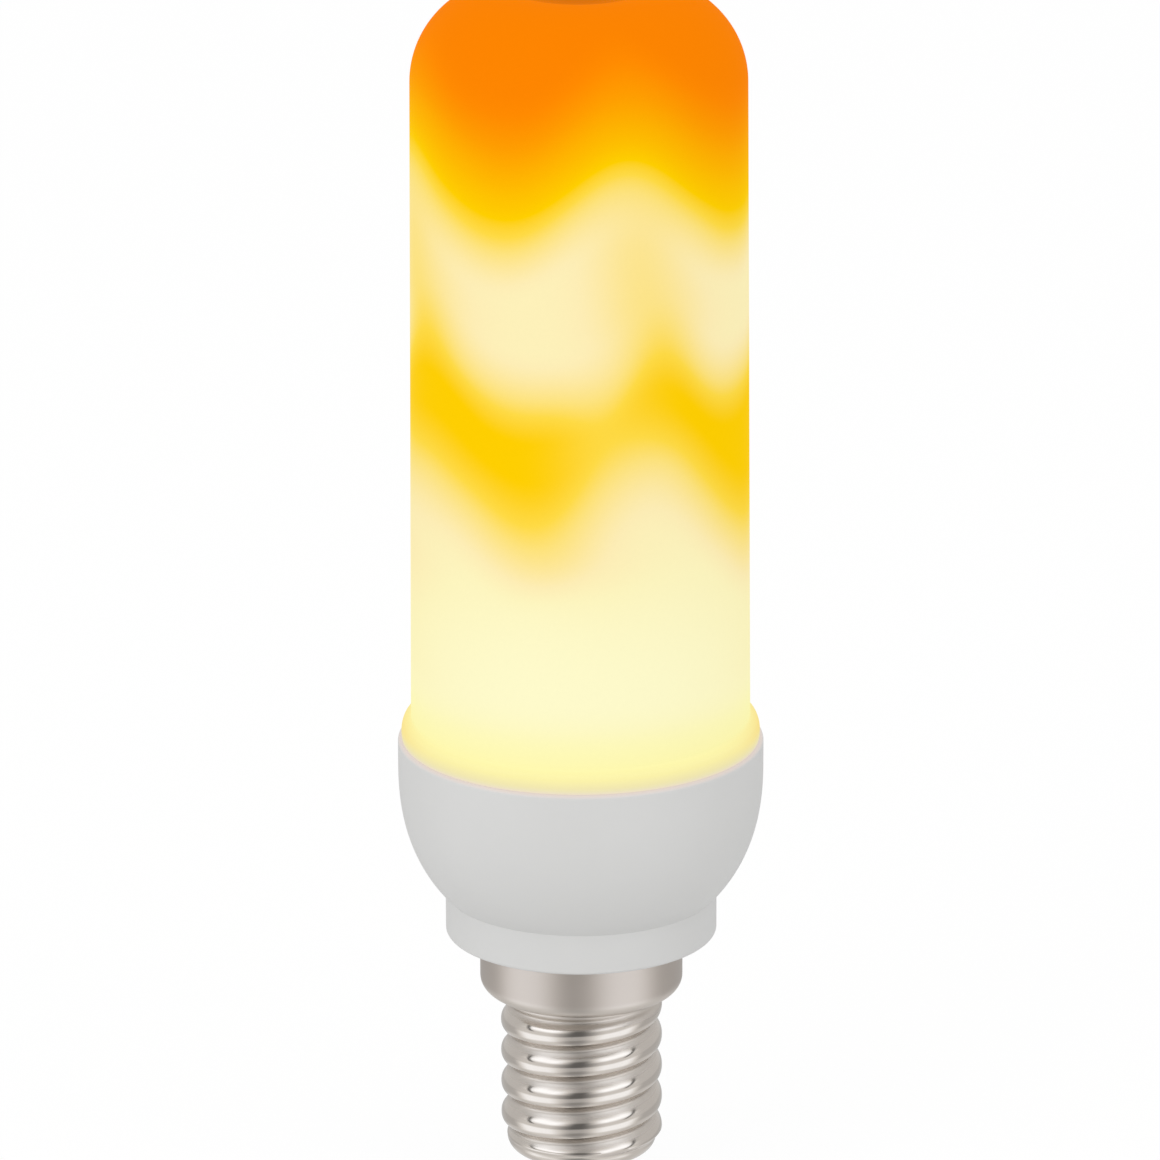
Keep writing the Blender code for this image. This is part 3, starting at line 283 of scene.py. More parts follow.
class Graph:
    """Adds nodes to a node tree and hands on their output sockets."""

    def __init__(self, tree):
        self.tree = tree

    def feed(self, socket, value):
        """Link a socket to another, or set its value."""
        if isinstance(value, bpy.types.NodeSocket):
            self.tree.links.new(value, socket)
        else:
            socket.default_value = value

    def node(self, kind, inputs=None, **settings):
        """A node with its settings and inputs."""
        made = self.tree.nodes.new(kind)
        for name, value in settings.items():
            setattr(made, name, value)
        for key, value in (inputs or {}).items():
            self.feed(made.inputs[key], value)
        return made

    def maths(self, operation, *values):
        """A Math node's result."""
        return self.node("ShaderNodeMath", dict(enumerate(values)), operation=operation).outputs[0]

    def step(self, value, low, high, start=0.0, end=1.0, smooth=True):
        """Start below low, end above high, and a clamped smooth or straight rise between."""
        kind = "SMOOTHSTEP" if smooth else "LINEAR"
        made = self.node("ShaderNodeMapRange", {0: value, 1: low, 2: high, 3: start, 4: end},
                         interpolation_type=kind, clamp=True)
        return made.outputs[0]

    def window(self, value, rise, fall):
        """1 between a rise and a fall, each a pair of values, and 0 outside."""
        return self.maths("MULTIPLY", self.step(value, *rise), self.step(value, *fall, 1.0, 0.0))

    def ramp(self, value, stops):
        """A colour ramp, its stops as (place, display colour)."""
        made = self.node("ShaderNodeValToRGB", {0: value})
        elements = made.color_ramp.elements
        while len(elements) < len(stops):
            elements.new(1.0)
        for element, (place, colour) in zip(elements, stops):
            element.position = place
            element.color = opaque(colour)
        return made.outputs[0]

    def mix(self, factor, first, second):
        """A mix of two colours."""
        made = self.node("ShaderNodeMix", {0: factor, 6: first, 7: second}, data_type="RGBA")
        return made.outputs[2]

    def blend(self, factor, first, second):
        """A mix of two numbers."""
        return self.node("ShaderNodeMix", {0: factor, 2: first, 3: second}).outputs[0]

    def scaled(self, colour, factor):
        """A colour times a number."""
        made = self.node("ShaderNodeVectorMath", {0: colour, "Scale": factor}, operation="SCALE")
        return made.outputs[0]

    def place(self):
        """The point on the object, in millimetres, and its three parts."""
        point = self.node("ShaderNodeTexCoord").outputs["Object"]
        point = self.scaled(point, 1 / MM)
        parts = self.node("ShaderNodeSeparateXYZ", {0: point})
        return point, parts.outputs[0], parts.outputs[1], parts.outputs[2]

    def noise(self, point, scale, detail=2.0, roughness=0.5):
        """Noise from 0 to 1 round 0.5."""
        made = self.node("ShaderNodeTexNoise", {
            "Vector": point, "Scale": scale, "Detail": detail, "Roughness": roughness})
        return made.outputs["Fac"]

    def stretched(self, point, factors):
        """The point with each part times a number."""
        made = self.node("ShaderNodeVectorMath", {0: point, 1: factors}, operation="MULTIPLY")
        return made.outputs[0]

    def bump(self, height, strength):
        """A normal from a height."""
        made = self.node("ShaderNodeBump", {
            "Height": height, "Strength": strength, "Distance": BUMP_HEIGHT})
        return made.outputs[0]

    def radius(self, x, y):
        """Distance from the lamp's axis."""
        squares = self.maths("ADD", self.maths("MULTIPLY", x, x), self.maths("MULTIPLY", y, y))
        return self.maths("SQRT", squares)

    def azimuth(self, x, y):
        """Angle round the lamp in radians, 0 in front and growing towards +X."""
        return self.maths("ARCTAN2", x, self.maths("MULTIPLY", y, -1.0))


def new_material(name, inputs):
    """A Principled material's graph and shader, with its plain values set."""
    material = bpy.data.materials.new(name)
    material.use_nodes = True
    graph = Graph(material.node_tree)
    shader = material.node_tree.nodes["Principled BSDF"]
    for key, value in inputs.items():
        graph.feed(shader.inputs[key], value)
    return material, graph, shader


def tongues(graph, azimuth, base, rows):
    """A height or share round the lamp: a base with smooth rises and dips."""
    total = base
    for angle, height, narrowness in rows:
        turn = graph.maths("COSINE", graph.maths("SUBTRACT", azimuth, math.radians(angle)))
        form = graph.maths("EXPONENT", graph.maths("MULTIPLY_ADD", turn, narrowness, -narrowness))
        total = graph.maths("MULTIPLY_ADD", form, height, total)
    return total


def flame_wisps(graph, azimuth, height):
    """How strong the wisps are at a place."""
    total = 0.0
    for angle, middle, narrowness, reach, share in WISPS:
        turn = tongues(graph, azimuth, 0.0, [(angle, share, narrowness)])
        off = graph.maths("DIVIDE", graph.maths("SUBTRACT", height, middle), reach)
        square = graph.maths("MULTIPLY", off, off)
        form = graph.maths("EXPONENT", graph.maths("MULTIPLY", square, -1.0))
        total = graph.maths("MULTIPLY_ADD", form, turn, total)
    return total


def flame_heat(graph, azimuth, height):
    """How deep the flame's colour is: 0 palest yellow, 0.5 full yellow, 1 orange."""
    crests = tongues(graph, azimuth, 0.0, EDGE_TONGUES)
    above = graph.maths("SUBTRACT", graph.maths("SUBTRACT", height, EDGE), crests)
    crown = graph.step(above, *EDGE_BLUR)
    over = graph.maths("SUBTRACT", height, tongues(graph, azimuth, LOWER, LOWER_TONGUES))
    under = graph.maths("SUBTRACT", tongues(graph, azimuth, UPPER, UPPER_TONGUES), height)
    under = graph.maths("MULTIPLY", under, UPPER_SHARPNESS)
    inside = graph.maths("SMOOTH_MIN", over, under, BAND_BLEND)
    strength = graph.maths("SUBTRACT", 1.0, tongues(graph, azimuth, 0.0, WEAK_PLACES))
    band = graph.maths("MULTIPLY", graph.step(inside, *BAND_BLUR), strength)
    pale = 1.0
    for part in (crown, band, flame_wisps(graph, azimuth, height)):
        pale = graph.maths("MULTIPLY", pale, graph.maths("SUBTRACT", 1.0, part))
    sides = graph.maths("MULTIPLY", tongues(graph, azimuth, 0.0, FOOT_YELLOWS),
                        graph.step(height, *FOOT_YELLOWS_END, 1.0, 0.0))
    base = graph.maths("ADD", graph.step(height, *PALE_RISE, 0.0, PALE_HEAT), sides)
    yellow = graph.blend(pale, BAND_HEAT, base)
    lagging = graph.maths("MULTIPLY_ADD", crests, CREST_LAG, above)
    deep = graph.step(lagging, *CROWN_DEPTH, 0.0, CROWN_HEAT)
    top = graph.step(height, *TOP_RISE, 0.0, TOP_HEAT)
    return graph.maths("ADD", yellow, graph.maths("ADD", deep, top))


def foot_colour(graph, azimuth, height):
    """The pale yellow over the cup's rim, deeper on the bead's ends."""
    low, high = FOOT_RAMP[0][0], FOOT_RAMP[-1][0]
    place = graph.step(height, low, high, smooth=False)
    foot = graph.ramp(place, [((stop - low) / (high - low), colour) for stop, colour in FOOT_RAMP])
    edge = graph.maths("MULTIPLY", tongues(graph, azimuth, 0.0, BEAD_ENDS),
                       graph.window(height, BEAD_START, BEAD_END))
    return graph.mix(edge, foot, opaque(BEAD_TINT))


def frosted_flame():
    """Frosted polycarbonate with the flame shining through."""
    material, graph, shader = new_material("frosted_flame", {
        "Roughness": 0.7, "Specular IOR Level": 0.006, "Emission Strength": GLOW_SHARE})
    point, x, y, z = graph.place()
    azimuth = graph.azimuth(x, y)
    waver = graph.maths("MULTIPLY_ADD", graph.noise(point, WAVER_SCALE, 1.0), 2 * WAVER, -WAVER)
    heat = flame_heat(graph, azimuth, graph.maths("ADD", z, waver))
    flame = graph.ramp(heat, FLAME_RAMP)
    foot = foot_colour(graph, azimuth, z)
    colour = graph.mix(graph.step(z, FOOT_FADE, FOOT_RAMP[-1][0], 1.0, 0.0), flame, foot)
    dim = graph.maths("MULTIPLY", graph.step(z, *RECESS_HEIGHT),
                      graph.step(graph.radius(x, y), *RECESS_RADIUS, 1.0, 0.0))
    light = graph.maths("MULTIPLY_ADD", dim, -RECESS_DIM, 1.0)
    grain = graph.noise(point, FROST_SCALE, 2.0, 0.6)
    frost = graph.maths("MULTIPLY_ADD", grain, FROST_DIM[1], FROST_DIM[0])
    colour = graph.scaled(colour, graph.maths("MULTIPLY", light, frost))
    graph.feed(shader.inputs["Base Color"], graph.scaled(colour, 1 - GLOW_SHARE))
    graph.feed(shader.inputs["Emission Color"], colour)
    graph.feed(shader.inputs["Normal"], graph.bump(grain, 0.10))
    return material


def moulded(name, colour, roughness, grain_scale=2.2, specular=0.35, spread=0.02, lit_rim=False):
    """Moulded plastic with a fine even grain and faint cloudiness."""
    material, graph, shader = new_material(name, {"Specular IOR Level": specular})
    point, _, _, z = graph.place()
    cloud = graph.noise(point, CLOUD_SCALE, 2.0)
    grain = graph.noise(point, grain_scale, 3.0, 0.6)
    shade = graph.maths("MULTIPLY_ADD", cloud, 2 * spread, 1 - spread)
    shade = graph.maths("SUBTRACT", shade, spread / 4)
    shade = graph.maths("MULTIPLY_ADD", grain, spread / 2, shade)
    tone = graph.node("ShaderNodeCombineColor", dict(enumerate(colour))).outputs[0]
    if lit_rim:
        near = graph.step(z, (RIM - RIM_GLOW) / MM, RIM / MM)
        tint = linear(RIM_TINT)
        tone = graph.mix(near, tone, graph.scaled(tint, 1 - RIM_SHARE))
        graph.feed(shader.inputs["Emission Color"], graph.scaled(tint, near))
        graph.feed(shader.inputs["Emission Strength"], RIM_SHARE)
    graph.feed(shader.inputs["Base Color"], graph.scaled(tone, shade))
    graph.feed(shader.inputs["Roughness"], graph.maths(
        "MULTIPLY_ADD", cloud, 2 * CLOUD_ROUGHNESS, roughness - CLOUD_ROUGHNESS))
    graph.feed(shader.inputs["Normal"], graph.bump(grain, 0.12))
    return material


def nickel_plate():
    """Nickel plate on brass with drawing lines and smudges: satin skirt with painted shade,
    burnished crests.
    """
    material, graph, shader = new_material("nickel_plate", {"Metallic": 1.0})
    point, x, y, z = graph.place()
    smudge = graph.noise(graph.stretched(point, SMUDGE_FORM), SMUDGE_SCALE, 3.0, 0.6)
    lines = graph.noise(graph.stretched(point, LINE_FORM), 1.0, 3.0, 0.7)
    # Painted shade: the skirt takes a darker tone than the crests.
    crest, shaded_skirt = [graph.mix(smudge, opaque(dark), opaque(light))
                    for dark, light in (CREST_TONES, SKIRT_SHADE_TONES)]
    graph.feed(shader.inputs["Base Color"], graph.mix(graph.step(z, *SKIRT_SHADE_START), crest, shaded_skirt))
    groove = graph.maths("MULTIPLY", graph.step(graph.radius(x, y), *GROOVE_EDGE, 1.0, 0.0),
                         graph.step(z, *GROOVE_START))
    satin = graph.maths("MAXIMUM", groove, graph.step(z, *SATIN_START))
    rough = graph.blend(satin, BURNISHED, SATIN)
    rough = graph.maths("MULTIPLY_ADD", smudge, SMUDGE_ROUGHNESS, rough)
    rough = graph.maths("MULTIPLY_ADD", lines, LINE_ROUGHNESS, rough)
    graph.feed(shader.inputs["Roughness"], rough)
    graph.feed(shader.inputs["Normal"], graph.bump(lines, 0.10))
    return material


MATERIALS = {
    "frosted_flame": frosted_flame(),
    "white_plastic": moulded("white_plastic", WHITE, 0.45),
    "lit_plastic": moulded("lit_plastic", WHITE, 0.45, lit_rim=True),
    "nickel_plate": nickel_plate(),
    "black_glass": moulded("black_glass", (0.012, 0.012, 0.014), 0.16, 0.8, 0.5, 0.10),
    "board_white": moulded("board_white", (0.74, 0.74, 0.71), 0.38, 4.0, 0.5, 0.03),
    "board_green": moulded("board_green", (0.020, 0.110, 0.040), 0.36, 4.0, 0.5, 0.15),
    "black_plastic": moulded("black_plastic", (0.018, 0.018, 0.019), 0.55, 6.0, 0.4, 0.12),
    "can_sleeve": moulded("can_sleeve", (0.012, 0.016, 0.045), 0.28, 1.5, 0.5, 0.12),
    "ferrite": moulded("ferrite", (0.035, 0.035, 0.038), 0.62, 5.0, 0.4, 0.20),
    "resistor_green": moulded("resistor_green", (0.075, 0.200, 0.110), 0.50, 3.0, 0.4, 0.12),
    "red_sleeve": moulded("red_sleeve", (0.420, 0.014, 0.014), 0.42, 2.0, 0.4, 0.06),
    "white_sleeve": moulded("white_sleeve", (0.700, 0.700, 0.680), 0.42, 2.0, 0.4, 0.04),
}


def arc(centre, radius, start, end, steps):
    """Points on an arc in the (radius, height) plane, from start to end in degrees."""
    points = []
    for step in range(steps + 1):
        angle = math.radians(start + (end - start) * step / steps)
        points.append((centre[0] + radius * math.cos(angle), centre[1] + radius * math.sin(angle)))
    return points


def smooth(mesh):
    """Shade a mesh smooth up to its sharp edges."""
    mesh.shade_smooth()
    mesh.set_sharp_from_angle(angle=SHARP_ANGLE)


def new_object(name, form):
    """An object in the scene, made from a bmesh."""
    bmesh.ops.recalc_face_normals(form, faces=form.faces)
    mesh = bpy.data.meshes.new(name)
    form.to_mesh(mesh)
    form.free()
    obj = bpy.data.objects.new(name, mesh)
    bpy.context.scene.collection.objects.link(obj)
    return obj


def dress(name, form, nodes, slot, material=None):
    """Turn a bmesh into a piece that stands for its CAD node."""
    piece = new_object(name, form)
    piece.data.materials.append(MATERIALS[material or slot])
    smooth(piece.data)
    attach(piece, "root")
    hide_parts(*nodes)
    return piece


def revolve(outline, closed=False, steps=ROUND_STEPS):
    """A bmesh of an outline of (radius, height) points turned round the Z axis."""
    form = bmesh.new()
    rings = []
    for radius, height in outline:
        count = steps if radius > NEAR_AXIS else 1
        turns = [2 * math.pi * index / steps for index in range(count)]
        rings.append([form.verts.new((radius * math.cos(turn), radius * math.sin(turn), height))
                      for turn in turns])
    after_rings = rings[1:] + (rings[:1] if closed else [])
    for upper, lower in zip(rings, after_rings):
        for index in range(steps):
            after = (index + 1) % steps
            corners = [upper[index % len(upper)], lower[index % len(lower)],
                       lower[after % len(lower)], upper[after % len(upper)]]
            form.faces.new(list(dict.fromkeys(corners)))
    return form


def belly_radius(height):
    """Outer radius of the cup: upright under the rim, then a superellipse down to the collar."""
    depth = max(0.0, RIM - CUP_UPRIGHT - height)
    end = (1 - (COLLAR_RADIUS / CUP_RADIUS) ** CUP_FULLNESS) ** (1 / CUP_FULLNESS)
    share = end * depth / (CUP_HEIGHT - CUP_UPRIGHT)
    return CUP_RADIUS * (1 - share ** CUP_FULLNESS) ** (1 / CUP_FULLNESS)


def belly_slope(height):
    """How much the cup's radius grows with height."""
    step = 0.01 * MM
    return (belly_radius(height + step) - belly_radius(height)) / step


def belly_heights(steps):
    """Heights down the belly, closer together where it curves most."""
    span = CUP_HEIGHT - CUP_UPRIGHT
    return [COLLAR_TOP + span * (1 - step / steps) ** BELLY_CROWDING for step in range(steps + 1)]


def housing_outline():
    """Section of the cup, collar and neck, with the groove for the diffuser's snap ridge."""
    rim = arc((CUP_RADIUS - CUP_RIM_CORNER, RIM - CUP_RIM_CORNER), CUP_RIM_CORNER, 90, 0, 8)
    outer = [(belly_radius(height), height) for height in belly_heights(BELLY_STEPS)]
    collar = arc((COLLAR_RADIUS - COLLAR_CORNER, COLLAR_FOOT + COLLAR_CORNER),
                 COLLAR_CORNER, 0, -90, 6)
    spigot_radius = SKIRT_RADIUS - SHEET - GAP
    step = SKIRT_FOOT + SHEET + GAP
    neck = [
        (spigot_radius, COLLAR_FOOT), (spigot_radius, step + SPIGOT_CHAMFER),
        (spigot_radius - SPIGOT_CHAMFER, step), (NECK_RADIUS, step), (NECK_RADIUS, NECK_FOOT),
        (NECK_BORE, NECK_FOOT), (NECK_BORE, CAVITY_FLOOR)]
    corner = math.atan(belly_slope(COLLAR_TOP))
    inner = [(COLLAR_RADIUS - HOUSING_WALL, CAVITY_FLOOR),
             (COLLAR_RADIUS - HOUSING_WALL, COLLAR_TOP + HOUSING_WALL * math.tan(corner / 2))]
    for height in reversed(belly_heights(BELLY_INNER_STEPS)[:-1]):
        slope = math.atan(belly_slope(height))
        inner.append((belly_radius(height) - HOUSING_WALL * math.cos(slope),
                      height + HOUSING_WALL * math.sin(slope)))
    snap = RIM - SNAP_DEPTH
    foot = SNAP_HALF_HEIGHT + GAP
    crown = SNAP_HALF_HEIGHT - SNAP_RIDGE + GAP
    groove = [
        (MOUTH_RADIUS, snap - foot), (MOUTH_RADIUS + SNAP_RIDGE, snap - crown),
        (MOUTH_RADIUS + SNAP_RIDGE, snap + crown), (MOUTH_RADIUS, snap + foot)]
    inner = [point for point in inner if point[1] < groove[0][1] - GAP]
    return rim + outer + collar + neck + inner + groove + [(MOUTH_RADIUS, RIM)]


def block(size, centre):
    """A bmesh box."""
    form = bmesh.new()
    matrix = Matrix.Translation(centre) @ Matrix.Diagonal((*size, 1.0))
    bmesh.ops.create_cube(form, size=1.0, matrix=matrix)
    return form


def combine(piece, helpers):
    """Join or cut a piece with its helpers, and remove them."""
    for obj, operation in helpers:
        modifier = piece.modifiers.new(operation.lower(), "BOOLEAN")
        modifier.object = obj
        modifier.operation = operation
        modifier.solver = "EXACT"
    depsgraph = bpy.context.evaluated_depsgraph_get()
    mesh = bpy.data.meshes.new_from_object(piece.evaluated_get(depsgraph))
    piece.modifiers.clear()
    piece.data = mesh
    smooth(mesh)
    for obj, _ in helpers:
        bpy.data.objects.remove(obj)


def ledge(index):
    """One rib up the cup's inside that the control board rests on."""
    top = CONTROL_BOARD_FOOT - GAP
    heights = (top, top - LEDGE_REACH, COLLAR_TOP + HOUSING_WALL)
    section = [(CONTROL_BOARD_RADIUS - LEDGE_REACH, top)]
    section += [(belly_radius(height) - HOUSING_WALL / 2, height) for height in heights]
    turn = Matrix.Rotation(2 * math.pi * (index + 0.5) / LEDGE_COUNT, 4, "Z")
    form = bmesh.new()
    sides = []
    for side in (-0.5, 0.5):
        sides.append([form.verts.new(turn @ Vector((radius, side * LEDGE_WIDTH, height)))
                      for radius, height in section])
    form.faces.new(sides[0])
    form.faces.new(reversed(sides[1]))
    for corner in range(len(section)):
        after = (corner + 1) % len(section)
        form.faces.new((sides[0][after], sides[0][corner], sides[1][corner], sides[1][after]))
    return form


def make_base_housing():
    """Cup, collar and neck in one moulding, with rails and ledges for the boards inside."""
    piece = dress("cup_and_collar", revolve(housing_outline(), closed=True), ["base_housing"],
                  "white_plastic", "lit_plastic")
    inner = DRIVER_HALF_WIDTH - RAIL_DEPTH
    outer = COLLAR_RADIUS - HOUSING_WALL / 2
    foot = CAVITY_FLOOR - HOUSING_WALL / 2
    top = COLLAR_TOP + HOUSING_WALL
    size = (outer - inner, BOARD_THICKNESS + 2 * (GAP + RAIL_WIDTH), top - foot)
    helpers = []
    for side in (-1, 1):
        centre = (side * (outer + inner) / 2, 0.0, (top + foot) / 2)
        helpers.append((new_object("rail", block(size, centre)), "UNION"))
    height = DRIVER_TOP - CAVITY_FLOOR
    slot = block((2 * (DRIVER_HALF_WIDTH + GAP), BOARD_THICKNESS + 2 * GAP, height),
                 (0.0, 0.0, CAVITY_FLOOR + height / 2))
    helpers.append((new_object("slot", slot), "DIFFERENCE"))
    for index in range(LEDGE_COUNT):
        helpers.append((new_object("ledge", ledge(index)), "UNION"))
    combine(piece, helpers)


def recess_outline(recess_radius, recess_floor):
    """The top's middle: a flat floor and a smooth slope up to the rim."""
    outline = [(0.0, recess_floor)]
    for step in range(RECESS_STEPS + 1):
        share = step / RECESS_STEPS
        outline.append((recess_radius - RECESS_SLOPE * (1 - share),
                        recess_floor + TOP_RECESS_DEPTH * (3 - 2 * share) * share ** 2))
    return outline


def flange_outline(flange_foot):
    """The bead on the cup's rim, blended in the tube above, and its foot that curls in."""
    outline = [(DIFFUSER_FOOT_RADIUS, FLANGE_TOP)]
    for step in range(1, FLANGE_STEPS + 1):
        share = (step / FLANGE_STEPS) ** FLANGE_CROWDING
        fillet = min(1.0, share / FLANGE_FILLET)
        bulge = math.sqrt(1 - (1 - share) ** 2) * fillet * fillet * (3 - 2 * fillet)
        outline.append((DIFFUSER_FOOT_RADIUS + (FLANGE_RADIUS - DIFFUSER_FOOT_RADIUS) * bulge,
                        FLANGE_TOP - FLANGE_CORNER * share))
    drop = FLANGE_TOP - FLANGE_CORNER - flange_foot
    for step in range(1, CURL_STEPS + 1):
        share = step / CURL_STEPS
        outline.append((FLANGE_RADIUS - FLANGE_CURL * share ** 2, flange_foot + drop * (1 - share)))
    return outline


def diffuser_outline():
    """Section of the frosted tube with its shoulder, flange, snap spigot and inside."""
    flat_radius = DIFFUSER_SHOULDER_RADIUS - DIFFUSER_CORNER
    recess_floor = DIFFUSER_TOP - TOP_RECESS_DEPTH
    corner = (flat_radius, DIFFUSER_TOP - DIFFUSER_CORNER)
    flange_foot = RIM + FLANGE_SEAT
    spigot_radius = MOUTH_RADIUS - GAP
    snap = RIM - SNAP_DEPTH
    crown = SNAP_HALF_HEIGHT - SNAP_RIDGE
    top = recess_outline(flat_radius - TOP_RECESS_RIM, recess_floor)
    shoulder = arc(corner, DIFFUSER_CORNER, 90, 0, SHOULDER_STEPS)
    draft = DIFFUSER_FOOT_RADIUS - DIFFUSER_SHOULDER_RADIUS
    tube = []
    for step in range(1, TUBE_STEPS):
        share = step / TUBE_STEPS
        tube.append((DIFFUSER_SHOULDER_RADIUS + draft * share,
                     corner[1] + (FLANGE_TOP - corner[1]) * share))
    flange = flange_outline(flange_foot) + [(spigot_radius, flange_foot)]
    ridge = [(spigot_radius, snap + SNAP_HALF_HEIGHT), (spigot_radius + SNAP_RIDGE, snap + crown),
             (spigot_radius + SNAP_RIDGE, snap - crown), (spigot_radius, snap - SNAP_HALF_HEIGHT)]
    inner_radius = spigot_radius - DIFFUSER_WALL
    inside = [(spigot_radius, SPIGOT_FOOT), (inner_radius, SPIGOT_FOOT), (inner_radius, RIM + GAP),
              (DIFFUSER_FOOT_RADIUS - DIFFUSER_WALL, FLANGE_TOP)]
    ceiling = arc(corner, DIFFUSER_CORNER - DIFFUSER_WALL, 0, 90, CEILING_STEPS)
    ceiling[-1] = (ceiling[-1][0], recess_floor - DIFFUSER_WALL)
    ceiling.append((0.0, recess_floor - DIFFUSER_WALL))
    return top + shoulder + tube + flange + ridge + inside + ceiling


def thread_strength(height):
    """How deep the thread is at a height: 0 where it starts and ends, 1 between."""
    run_in = (SKIRT_FOOT - NECK_FILLET - height) / (THREAD_RUN_IN - NECK_FILLET)
    run_out = (height - TOE_HEIGHT - TOE_CORNER) / THREAD_RUN_OUT
    share = max(0.0, min(1.0, run_in, run_out))
    return share * share * (3 - 2 * share)


def thread_radius(height, angle):
    """Outer radius of the rolled thread: a right-hand helix of equal crests and roots."""
    middle = (THREAD_CREST_RADIUS + THREAD_ROOT_RADIUS) / 2
    depth = (THREAD_CREST_RADIUS - THREAD_ROOT_RADIUS) / 2
    strength = thread_strength(height)
    if height < SKIRT_FOOT - THREAD_RUN_IN:
        middle = TOE_RADIUS + (middle - TOE_RADIUS) * strength
    phase = 2 * math.pi * (height - FIRST_CREST) / THREAD_PITCH - (angle - math.pi)
    return middle + depth * strength * math.cos(phase - THREAD_FULLNESS * math.sin(phase))


def cap_rows():
    """Rows down the cap's sheet as (radius, height), the radius left open where the thread is."""
    neck = (THREAD_CREST_RADIUS + THREAD_ROOT_RADIUS) / 2
    top = SKIRT_FOOT - NECK_FILLET
    foot = TOE_HEIGHT + TOE_CORNER
    edge = CAP_HEIGHT - SKIRT_EDGE
    upright = CAP_HEIGHT - SKIRT_FOOT - SKIRT_CORNER
    rows = [(SKIRT_RADIUS - SKIRT_EDGE, CAP_HEIGHT), (SKIRT_RADIUS, edge)]
    rows += [(SKIRT_RADIUS, edge - upright * step / SKIRT_STEPS) for step in range(1, SKIRT_STEPS)]
    rows += arc((SKIRT_RADIUS - SKIRT_CORNER, SKIRT_FOOT + SKIRT_CORNER),
                SKIRT_CORNER, 0, -90, 12)
    rows += arc((neck + NECK_FILLET, top), NECK_FILLET, 90, 180, 6)
    rows += [(None, top + (foot - top) * row / THREAD_ROWS) for row in range(1, THREAD_ROWS)]
    rows += arc((TOE_RADIUS - TOE_CORNER, foot), TOE_CORNER, 0, -90, 10)
    rows.append((TOE_RADIUS - TOE_LIP, TOE_HEIGHT))
    return rows


def make_cap_shell():
    """Skirt, rolled thread and toe of the screw cap, one even sheet."""
    form = bmesh.new()
    rings = []
    for radius, height in cap_rows():
        ring = []
        for index in range(THREAD_STEPS):
            turn = 2 * math.pi * index / THREAD_STEPS
            reach = thread_radius(height, turn) if radius is None else radius
            ring.append(form.verts.new((reach * math.cos(turn), reach * math.sin(turn), height)))
        rings.append(ring)
    for upper, lower in zip(rings, rings[1:]):
        for index in range(THREAD_STEPS):
            after = (index + 1) % THREAD_STEPS
            form.faces.new((upper[index], lower[index], lower[after], upper[after]))
    piece = dress("cap_sheet", form, ["cap_shell"], "nickel_plate")
    sheet = piece.modifiers.new("sheet", "SOLIDIFY")
    sheet.thickness = SHEET
    sheet.offset = -1.0
    sheet.use_even_offset = True


def make_cap_insulator():
    """Dark cone that closes the shell's end and keeps the centre contact apart from it."""
    shoulder_foot = TOE_HEIGHT + SHEET + GAP
    shoulder_radius = THREAD_ROOT_RADIUS - SHEET - GAP
    waist_radius = TOE_RADIUS - TOE_LIP - GAP
    cone_foot = CONTACT_THICKNESS + GAP
    bore = PIN_RADIUS + GAP
    corner = TOE_CORNER / 2
    bulge = [(CONE_FOOT_RADIUS + (waist_radius - CONE_FOOT_RADIUS) * share ** CONE_FULLNESS,
              cone_foot + (TOE_HEIGHT - SHEET - cone_foot) * share) for share in CONE_SHARES]
    outline = [(bore, INSULATOR_TOP), (shoulder_radius, INSULATOR_TOP)]
    outline += arc((shoulder_radius - corner, shoulder_foot + corner), corner, 0, -90, 6)
    outline += [(waist_radius, shoulder_foot)] + bulge
    outline += [(CONE_FOOT_RADIUS - CONE_EDGE, cone_foot), (bore, cone_foot)]
    dress("cap_end_cone", revolve(outline, closed=True, steps=SMALL_STEPS), ["cap_insulator"],
          "black_glass")


def make_centre_contact():
    """Round contact with a flat tip and a pin pressed into the insulator."""
    pin_top = INSULATOR_TOP - GAP
    edge = CONTACT_BACK_EDGE
    outline = [
        (0.0, pin_top), (0.3 * PIN_RADIUS, pin_top - 0.1 * PIN_POINT),
        (PIN_RADIUS, pin_top - PIN_POINT), (PIN_RADIUS, CONTACT_THICKNESS),
        (CONTACT_RADIUS - edge, CONTACT_THICKNESS)]
    outline += arc((CONTACT_RADIUS - edge, CONTACT_THICKNESS - edge), edge, 70, 0, 3)
    outline += arc((CONTACT_RADIUS - CONTACT_EDGE, CONTACT_EDGE), CONTACT_EDGE, 0, -90, 6)
    outline.append((0.0, 0.0))
    dress("tip_contact", revolve(outline, steps=SMALL_STEPS), ["centre_contact"], "nickel_plate")


def dress_inner_nodes():
    """Give the carried-over nodes the detailed material of their slot."""
    for row in frame["record"]["subparts"]:
        obj = frame["nodes"][row["node"]]
        if not obj.hide_render:
            obj.data.materials.clear()
            obj.data.materials.append(MATERIALS[row["material_slot"]])


def view_level(graph, rise, view):
    """A level by elevation in degrees."""
    level = view[0]
    for low, high, after in view[1:]:
        level = graph.blend(graph.step(rise, low, high), level, after)
    return level


